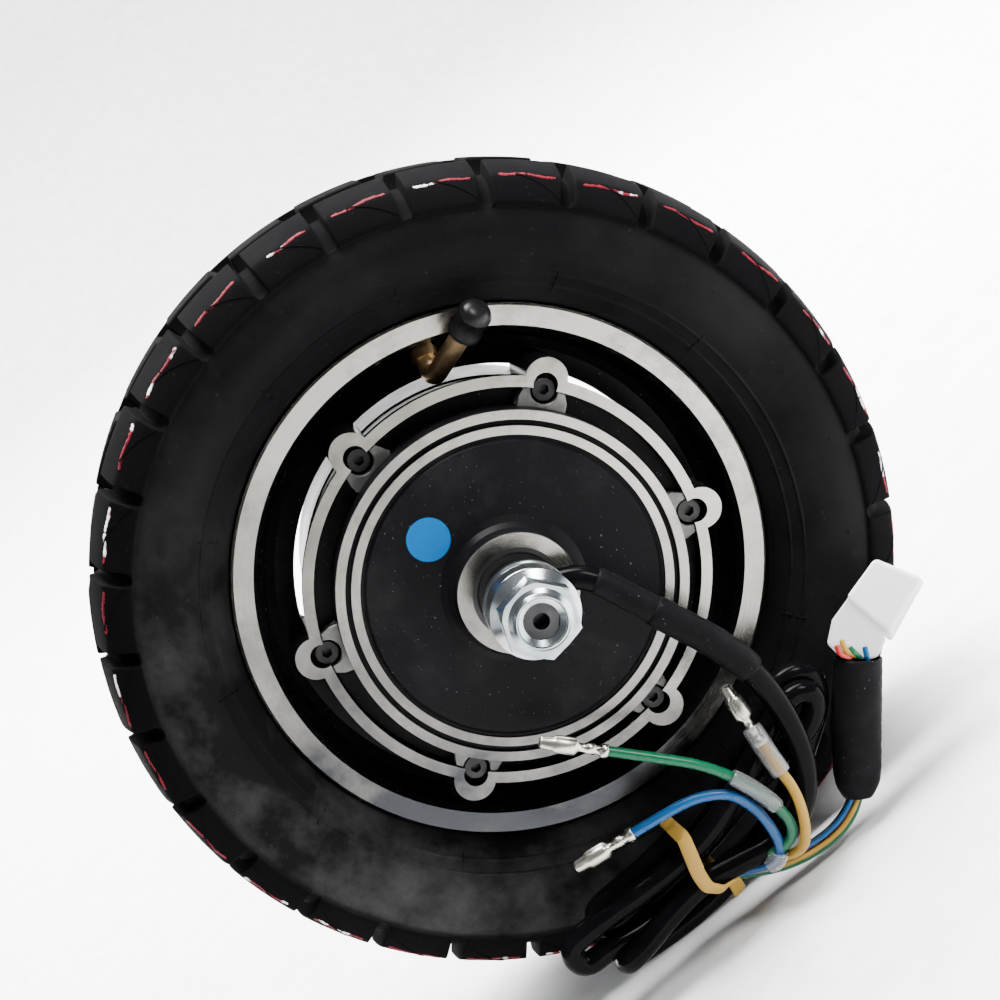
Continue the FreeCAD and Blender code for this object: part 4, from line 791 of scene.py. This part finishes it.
# ---------------------------------------------------------------- tyre
BLOCKS, PITCH = 30, 12.0
HALF_PITCH, CROWN_PITCH = PITCH / 2, PITCH * 2
GAP_ANGLE, CROWN_ANGLE = 7.6, 21.5
TREAD_RADIUS = 127
RIBS = (90.3, 93.9)
SIDEWALL = [(84.6, 20.6), (85.0, 23.4), (86.4, 26.4), (88.9, 29.8), (90.4, 31.4), (93.0, 33.9),
            (94.6, 35.2), (99.0, 38.0), (104.5, 39.5), (109.0, 39.2), (113.2, 38.0)]
BLOCK_TOP = [(113.3, 38.15), (113.5, 38.7), (113.8, 39.0), (114.3, 39.15), (115.2, 38.9), (116.4, 38.45),
             (117.6, 37.9), (118.8, 37.3), (120.0, 36.65), (121.0, 36.0), (121.7, 35.5), (122.3, 34.9),
             (122.7, 34.2), (123.1, 33.1), (123.8, 30.8), (124.6, 27.8), (125.4, 24.4), (126.0, 21.4),
             (126.5, 18.8), (126.7, 17.6), (126.6, 17.1), (126.1, 16.9)]
BLOCK_FLOOR = [(113.3, 38.0), (113.6, 37.6), (114.0, 37.1), (114.5, 36.5), (115.1, 35.8), (115.8, 35.0),
               (116.6, 34.0), (117.4, 32.9), (118.1, 31.8), (118.8, 30.6), (119.4, 29.3), (119.9, 28.0),
               (120.4, 26.6), (120.8, 25.2), (121.1, 23.7), (121.4, 22.2), (121.6, 20.7), (121.8, 19.2),
               (121.9, 18.0), (121.9, 17.4), (121.9, 17.0), (121.9, 16.8)]
GROOVE = [(122.2, 16.4), (121.9, 15.9), (121.9, 13.9), (122.2, 13.3)]
CROWN_TOP = [(126.7, 13.0), (127.2, 12.7), (127.4, 12.1), (127.48, 9.0), (127.5, 5.0), (127.5, 0.9),
             (127.5, 0.0)]
CROWN_FLOOR = [(122.0, 12.9), (122.0, 12.6), (122.0, 12.0), (122.0, 9.0), (122.0, 5.0), (122.0, 0.9),
               (122.0, 0.0)]


def soft_step(low, high, value):
    share = np.clip((value - low) / (high - low), 0, 1)
    return share * share * (3 - 2 * share)


side_line = smooth_line(SIDEWALL)


def sidewall_rows():
    """Rows of the plain sidewall: radius, depth and outward lift of the two moulded ribs."""
    radii = [84.6, 84.75, 85.0, 85.4, 85.9, 86.5, 87.2, 88.0, 88.8, 89.5]
    for rib in RIBS:
        radii += [rib - 0.62, rib - 0.42, rib - 0.25, rib - 0.1, rib + 0.1, rib + 0.25, rib + 0.42, rib + 0.62]
        radii += [rib + 1.3, rib + 2.2]
    radii += [97.2, 98.6, 100.2, 102.0, 103.8, 105.6, 107.4, 109.2, 110.6, 111.6, 112.4, 112.9]
    rows = []
    for radius in radii:
        depth = float(np.interp(radius, side_line[:, 0], side_line[:, 1]))
        lift = 0.0
        for rib in RIBS:
            lift = max(lift, 0.55 * math.exp(-(((radius - rib) / 0.26) ** 4)))
        rows.append((radius - lift * 0.55, depth + lift * 0.8))
    return rows


def build_tyre_mesh():
    """The tyre as one closed skin: both sidewalls, shoulder blocks, crown blocks and the lining."""
    offsets = [0.0, 0.4, 0.7, 0.84, 0.92, 1.0, 1.08, 1.2, 1.55, 2.2]
    within = sorted({sign * value for value in offsets for sign in (-1, 1)}
                    | {HALF_PITCH + sign * value for value in offsets for sign in (-1, 1)})
    columns = np.array([block * PITCH + value + GAP_ANGLE for block in range(BLOCKS) for value in within])
    side = sidewall_rows()
    front_top = side + BLOCK_TOP + GROOVE + CROWN_TOP
    front_floor = side + BLOCK_FLOOR + GROOVE + CROWN_FLOOR
    kinds = ["side"] * len(side) + ["block"] * len(BLOCK_TOP) + ["side"] * len(GROOVE) + ["crown"] * len(CROWN_TOP)
    rows = []
    for index in range(len(front_top)):
        rows.append((front_top[index], front_floor[index], kinds[index], 1))
    for index in range(len(front_top) - 2, -1, -1):
        top, floor = front_top[index], front_floor[index]
        rows.append(((top[0], -top[1]), (floor[0], -floor[1]), kinds[index], -1))
    turn = np.radians(columns)
    out = np.zeros((len(rows), len(columns), 3))
    number = np.floor((columns - GAP_ANGLE + HALF_PITCH) / PITCH).astype(int)
    for index, (top, floor, kind, sign) in enumerate(rows):
        height = np.ones(len(columns))
        if kind == "block":
            centre = GAP_ANGLE if sign > 0 else GAP_ANGLE + HALF_PITCH
            away = np.abs((columns - centre + HALF_PITCH) % PITCH - HALF_PITCH)
            across = np.radians(away) * top[0]
            foot = 112.7 + 0.9 * (number % 2)
            inside = top[0] - foot
            half = 2.0
            ring = np.hypot(across, np.maximum(half - inside, 0)) - half
            height = soft_step(-0.3, 0.3, ring)
        elif kind == "crown":
            away = np.abs((columns - CROWN_ANGLE + PITCH) % CROWN_PITCH - PITCH)
            slit = np.abs((columns - CROWN_ANGLE + CROWN_PITCH) % CROWN_PITCH - PITCH)
            wide = np.radians(away) * TREAD_RADIUS - 2.7
            narrow = np.radians(slit) * TREAD_RADIUS - 2.0
            height = soft_step(-0.5, 0.5, wide) * soft_step(-0.5, 0.5, narrow)
            sector = ((columns - CROWN_ANGLE) % CROWN_PITCH) < PITCH
            height = height * np.where(sector, 1.0, 0.93)
        radius = floor[0] + (top[0] - floor[0]) * height
        depth = floor[1] + (top[1] - floor[1]) * height
        out[index, :, 0] = radius * np.cos(turn)
        out[index, :, 1] = depth
        out[index, :, 2] = radius * np.sin(turn)
    inside = [(84.2, -19.9), (79.2, -16.8), (79.2, 16.8), (84.2, 19.9)]
    lining = np.stack([np.stack([radius * np.cos(turn), np.full(len(turn), depth), radius * np.sin(turn)], 1)
                       for radius, depth in inside])
    everything = np.concatenate([out, lining])
    count = everything.shape[0]
    faces = grid_faces(count, len(columns)) + closing_faces(count, len(columns))
    tyre_look = rubber_tyre()
    piece = add_mesh("tyre_tread", everything.reshape(-1, 3), faces, tyre_look, "wheel")
    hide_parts("tyre")
    return tyre_look


shell_line = np.array(list(side_line) + BLOCK_TOP[4:19])


def shell_point(radius, degrees, lift=0.0):
    """A point on the block tops or the sidewall at that radius and angle, on the front side."""
    reach = 0.3
    depth, above, below = (float(np.interp(place, shell_line[:, 0], shell_line[:, 1]))
                           for place in (radius, radius + reach, radius - reach))
    normal = np.array([below - above, 2 * reach])
    normal /= np.linalg.norm(normal)
    radius, depth = radius + normal[0] * lift, depth + normal[1] * lift
    turn = math.radians(degrees)
    return (radius * math.cos(turn), depth, radius * math.sin(turn))


def ribbon(paths, half_width, lift, low):
    """Closed strips laid on the shoulder blocks: one thin box section per path."""
    points, faces = [], []
    for path, widths in paths:
        base = len(points)
        for (radius, degrees), width in zip(path, widths):
            w = half_width * width
            points += [shell_point(radius - w, degrees, low), shell_point(radius - w * 0.8, degrees, lift),
                       shell_point(radius + w * 0.8, degrees, lift), shell_point(radius + w, degrees, low)]
        count = len(path)
        faces += strip_sides(base, count - 1)
        end = base + (count - 1) * 4
        faces += [(base, base + 1, base + 2, base + 3), (end + 3, end + 2, end + 1, end)]
    return points, faces


def tyre_details(tyre_look):
    """Paint lines and cuts on the shoulder blocks, and vent hairs and bridges on the sidewall."""
    lines, sipes, hairs = [], [], []
    for block in range(BLOCKS):
        start = GAP_ANGLE + block * PITCH + 1.3
        wobble = rng.uniform(-0.5, 0.5)
        drift = rng.uniform(-0.8, 0.8)
        cuts = sorted([0.0, 1.0, rng.uniform(0.35, 0.75)])
        if rng.random() < 0.3:
            cuts = [0.0, rng.uniform(0.75, 0.95)]
        for first, last in zip(cuts, cuts[1:]):
            steps = max(6, int(34 * (last - first)))
            path, widths = [], []
            for share in np.linspace(first + 0.008, last - 0.012, steps):
                degrees = start + 0.5 + share * 8.2
                radius = 122.0 + wobble + drift * (share - 0.5) + 0.22 * math.sin(9 * share + block)
                path.append((radius + rng.uniform(-0.07, 0.07), degrees))
                widths.append(rng.uniform(0.6, 1.2))
            widths[0] = widths[-1] = 0.4
            lines.append((path, widths))
        arc = []
        for share in np.linspace(0, 1, 22):
            arc.append((122.4 - 6.6 * share**1.7, start + 6.2 - 6.4 * share))
        sipes.append((arc, [1.0] * len(arc)))
        for spot in ((114.4, start + 0.5), (114.6, start + 7.6)):
            hairs.append((*spot, rng.uniform(0.9, 1.9)))
    points, faces = ribbon(lines, 0.42, 0.12, -0.2)
    add_mesh("tread_paint", points, faces, paint_line(), "wheel")
    points, faces = ribbon(sipes, 0.26, 0.22, -0.3)
    add_mesh("tread_sipes", points, faces, tyre_look, "wheel", smooth=False)
    for count in range(24):
        hairs.append((rng.uniform(102, 110), count * 15 + rng.uniform(-3, 3), rng.uniform(0.5, 1.6)))
    points, faces = [], []
    for radius, degrees, length in hairs:
        foot, tip = np.array(shell_point(radius, degrees, -0.3)), np.array(shell_point(radius, degrees, length))
        lean = np.array([rng.uniform(-0.5, 0.5), 0, rng.uniform(-0.5, 0.5)]) * length
        shaft, cover = turned_piece([(0, 0.32), (0.4, 0.28), (length + 0.3, 0.16)], foot,
                                    tip - foot + lean * 0.6, 8)
        base = len(points)
        points += shaft.tolist()
        faces += [tuple(i + base for i in face) for face in cover]
    for count in range(12):
        degrees = 13 + count * 30
        for rib in RIBS:
            base = len(points)
            for radius in (rib - 1.3, rib + 1.3):
                for side, lift in ((-0.16, -0.2), (-0.12, 0.55), (0.12, 0.55), (0.16, -0.2)):
                    points.append(shell_point(radius, degrees + side, lift))
            faces += strip_sides(base, 1)
            faces += [(base + 3, base + 2, base + 1, base), (base + 4, base + 5, base + 6, base + 7)]
    add_mesh("tyre_vents", points, faces, tyre_look, "wheel")


tyre_details(build_tyre_mesh())


# ---------------------------------------------------------------- valve cap
def valve_cap():
    """Moulded cap with a knurled grip, from its open end to its domed tip."""
    tip, axis = np.array((43.7, 42.0, 72.4)), np.array((0.6246, 0.7063, 0.3332))
    profile = [(0.0, 4.1), (0.0, 4.9), (0.3, 5.3), (0.9, 5.35), (2.2, 5.3), (2.5, 5.0), (8.2, 4.95),
               (8.4, 5.15), (9.3, 5.15), (9.6, 4.9), (10.2, 4.75), (10.9, 4.3), (11.5, 3.6), (11.95, 2.5),
               (12.2, 1.2), (12.25, 0.2)]

    def ridges(index, angles):
        along = profile[index][0]
        grip = 0.07 * np.sin(angles * 48)
        return grip if 0.2 < along < 2.3 or 2.4 < along < 9.7 else 0.0 * angles
    points, faces = turned_piece(profile, tip - axis * 12.0, axis, 288, ridges)
    look = plastic("cap_plastic_look", (0.004, 0.004, 0.0045), 0.3, 500.0, 0.2, 0.05, Specular_IOR_Level=0.15)
    cap = add_mesh("valve_cap_knurled", points, faces, look, "valve_cap")
    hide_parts("valve_cap")


valve_cap()


# ---------------------------------------------------------------- casting and nut details
LUG_ANGLE, BOSS_RADIUS = 41.85, 4.4
WALL_RADIUS, RING_RADIUS = 54.0, 59.8
SHELF_LOW, SHELF_TOP = 33.6, 36.2


def lug_shelves():
    """Cast shelves on both sides of each cover screw, between the cover's wall and the casing's ring."""
    points, faces = [], []
    widths = np.linspace(-7.6, 7.6, 39)
    for lug in range(6):
        turn = math.radians(LUG_ANGLE + 60 * lug)
        base = len(points)
        for across in widths:
            near = math.sqrt(WALL_RADIUS**2 - across**2) - 0.15
            far = math.sqrt(RING_RADIUS**2 - across**2) - 2.5 * max(0.0, abs(across) - 6.4)
            if abs(across) < BOSS_RADIUS:
                far = 59.6 - math.sqrt(BOSS_RADIUS**2 - across**2)
            for reach, depth in ((near, SHELF_LOW), (near, SHELF_TOP), (far, SHELF_TOP), (far, SHELF_LOW)):
                points.append((reach * math.cos(turn) - across * math.sin(turn), depth,
                               reach * math.sin(turn) + across * math.cos(turn)))
        faces += strip_sides(base, len(widths) - 1)
        end = base + (len(widths) - 1) * 4
        faces += [(base + 3, base + 2, base + 1, base), (end, end + 1, end + 2, end + 3)]
    look = turned_metal("cast_shelf_look", (0.16, 0.158, 0.152), 0.5, (0.09, 0.09, 0.088), scratch=0.1)
    shelves = add_mesh("cover_lug_shelves", points, faces, look, "wheel", smooth=False)
    bevel(shelves, 0.35)


def nut_thread(look):
    """The nut's last thread turns, seen in its mouth round the axle's end."""
    profile = []
    for turn in range(4):
        depth = 90.75 + turn * 0.5
        profile += [(depth, 5.35 + turn * 0.36), (depth + 0.25, 5.75 + turn * 0.36)]
    profile += [(92.55, 6.95), (92.55, 7.0), (90.75, 7.0), (90.75, 5.35)]
    points, faces = turned_piece(profile, (0.0, 0.0, 0.0), (0, 1, 0), 96)
    add_mesh("nut_thread", points, faces[:-2], look, "axle", smooth=False)


lug_shelves()

# ---------------------------------------------------------------- CAD nodes
casting_look = painted_casting("hub_casting_look", (0.004, 0.004, 0.0045), [
    (0.0590, 0.0700, 0.0362, 0.0375), (0.0770, 0.0843, 0.0225, 0.0250),
    (0.0770, 0.0843, -0.0250, -0.0225), (0.0185, 0.0272, -0.0445, -0.0435)])
cover_look = painted_casting("front_cover_look", (0.0036, 0.0036, 0.0042), [
    (0.0465, 0.0542, 0.0445, 0.0455), (0.0139, 0.0188, 0.0522, 0.0530)],
    lug_zone=(0.0545, 0.0700, 0.0313, 0.0350))
zinc_look = turned_metal("zinc_plate_look", (0.44, 0.47, 0.49), 0.17, (0.22, 0.26, 0.28))
axle_look = turned_metal("axle_steel_look", (0.055, 0.055, 0.057), 0.38, (0.03, 0.03, 0.032))
steel_look = turned_metal("ground_steel_look", (0.62, 0.63, 0.64), 0.22)
inner_look = turned_metal("bright_metal_look", (0.60, 0.60, 0.60), 0.32)
seal_look = plastic("seal_rubber_look", (0.010, 0.010, 0.011), 0.4, 400.0, 0.2, 0.2)
tube_look = plastic("tube_rubber_look", (0.02, 0.02, 0.021), 0.55, 300.0, 0.2, 0.2)
screw_look = turned_metal("black_oxide_look", (0.03, 0.03, 0.03), 0.4)
label_look = plastic("label_paper_look", (0.0, 0.10, 0.30), 0.6, 240.0, 0.06, 0.15, Specular_IOR_Level=0.03)
copper_look = turned_metal("copper_enamel_look", (0.60, 0.24, 0.10), 0.28)
board_look = plastic("board_look", (0.02, 0.14, 0.06), 0.4)
brass_look = brass()
nut_thread(zinc_look)
LOOKS = {
    casting_look: ["hub_casting"], cover_look: ["front_cover"], axle_look: ["axle", "stator_key", "flux_ring"],
    zinc_look: ["front_washer", "front_lock_washer", "front_spacer", "front_nut", "rear_washer", "rear_nut"],
    brass_look: ["valve_stem", "valve_collar", "valve_pin"],
    steel_look: [f"{side}_bearing_{part}" for side in ("front", "rear")
                 for part in ("inner", "outer", "balls", "cage")],
    inner_look: ["magnets", "stator_core", "stator_carrier"],
    seal_look: ["front_seal", "rear_seal", "cable_grommet", "hall_sensors"],
    tube_look: ["inner_tube"], screw_look: ["cover_screws"], label_look: ["inspection_label"],
    copper_look: ["stator_windings"], board_look: ["hall_board"],
    plastic("gasket_look", (0.30, 0.28, 0.23), 0.7): ["cover_gasket"]}
for look, names in LOOKS.items():
    for name in names:
        mesh = NODES[name].data
        if not mesh.materials:
            mesh.materials.append(look)
        for index in range(len(mesh.materials)):
            mesh.materials[index] = look
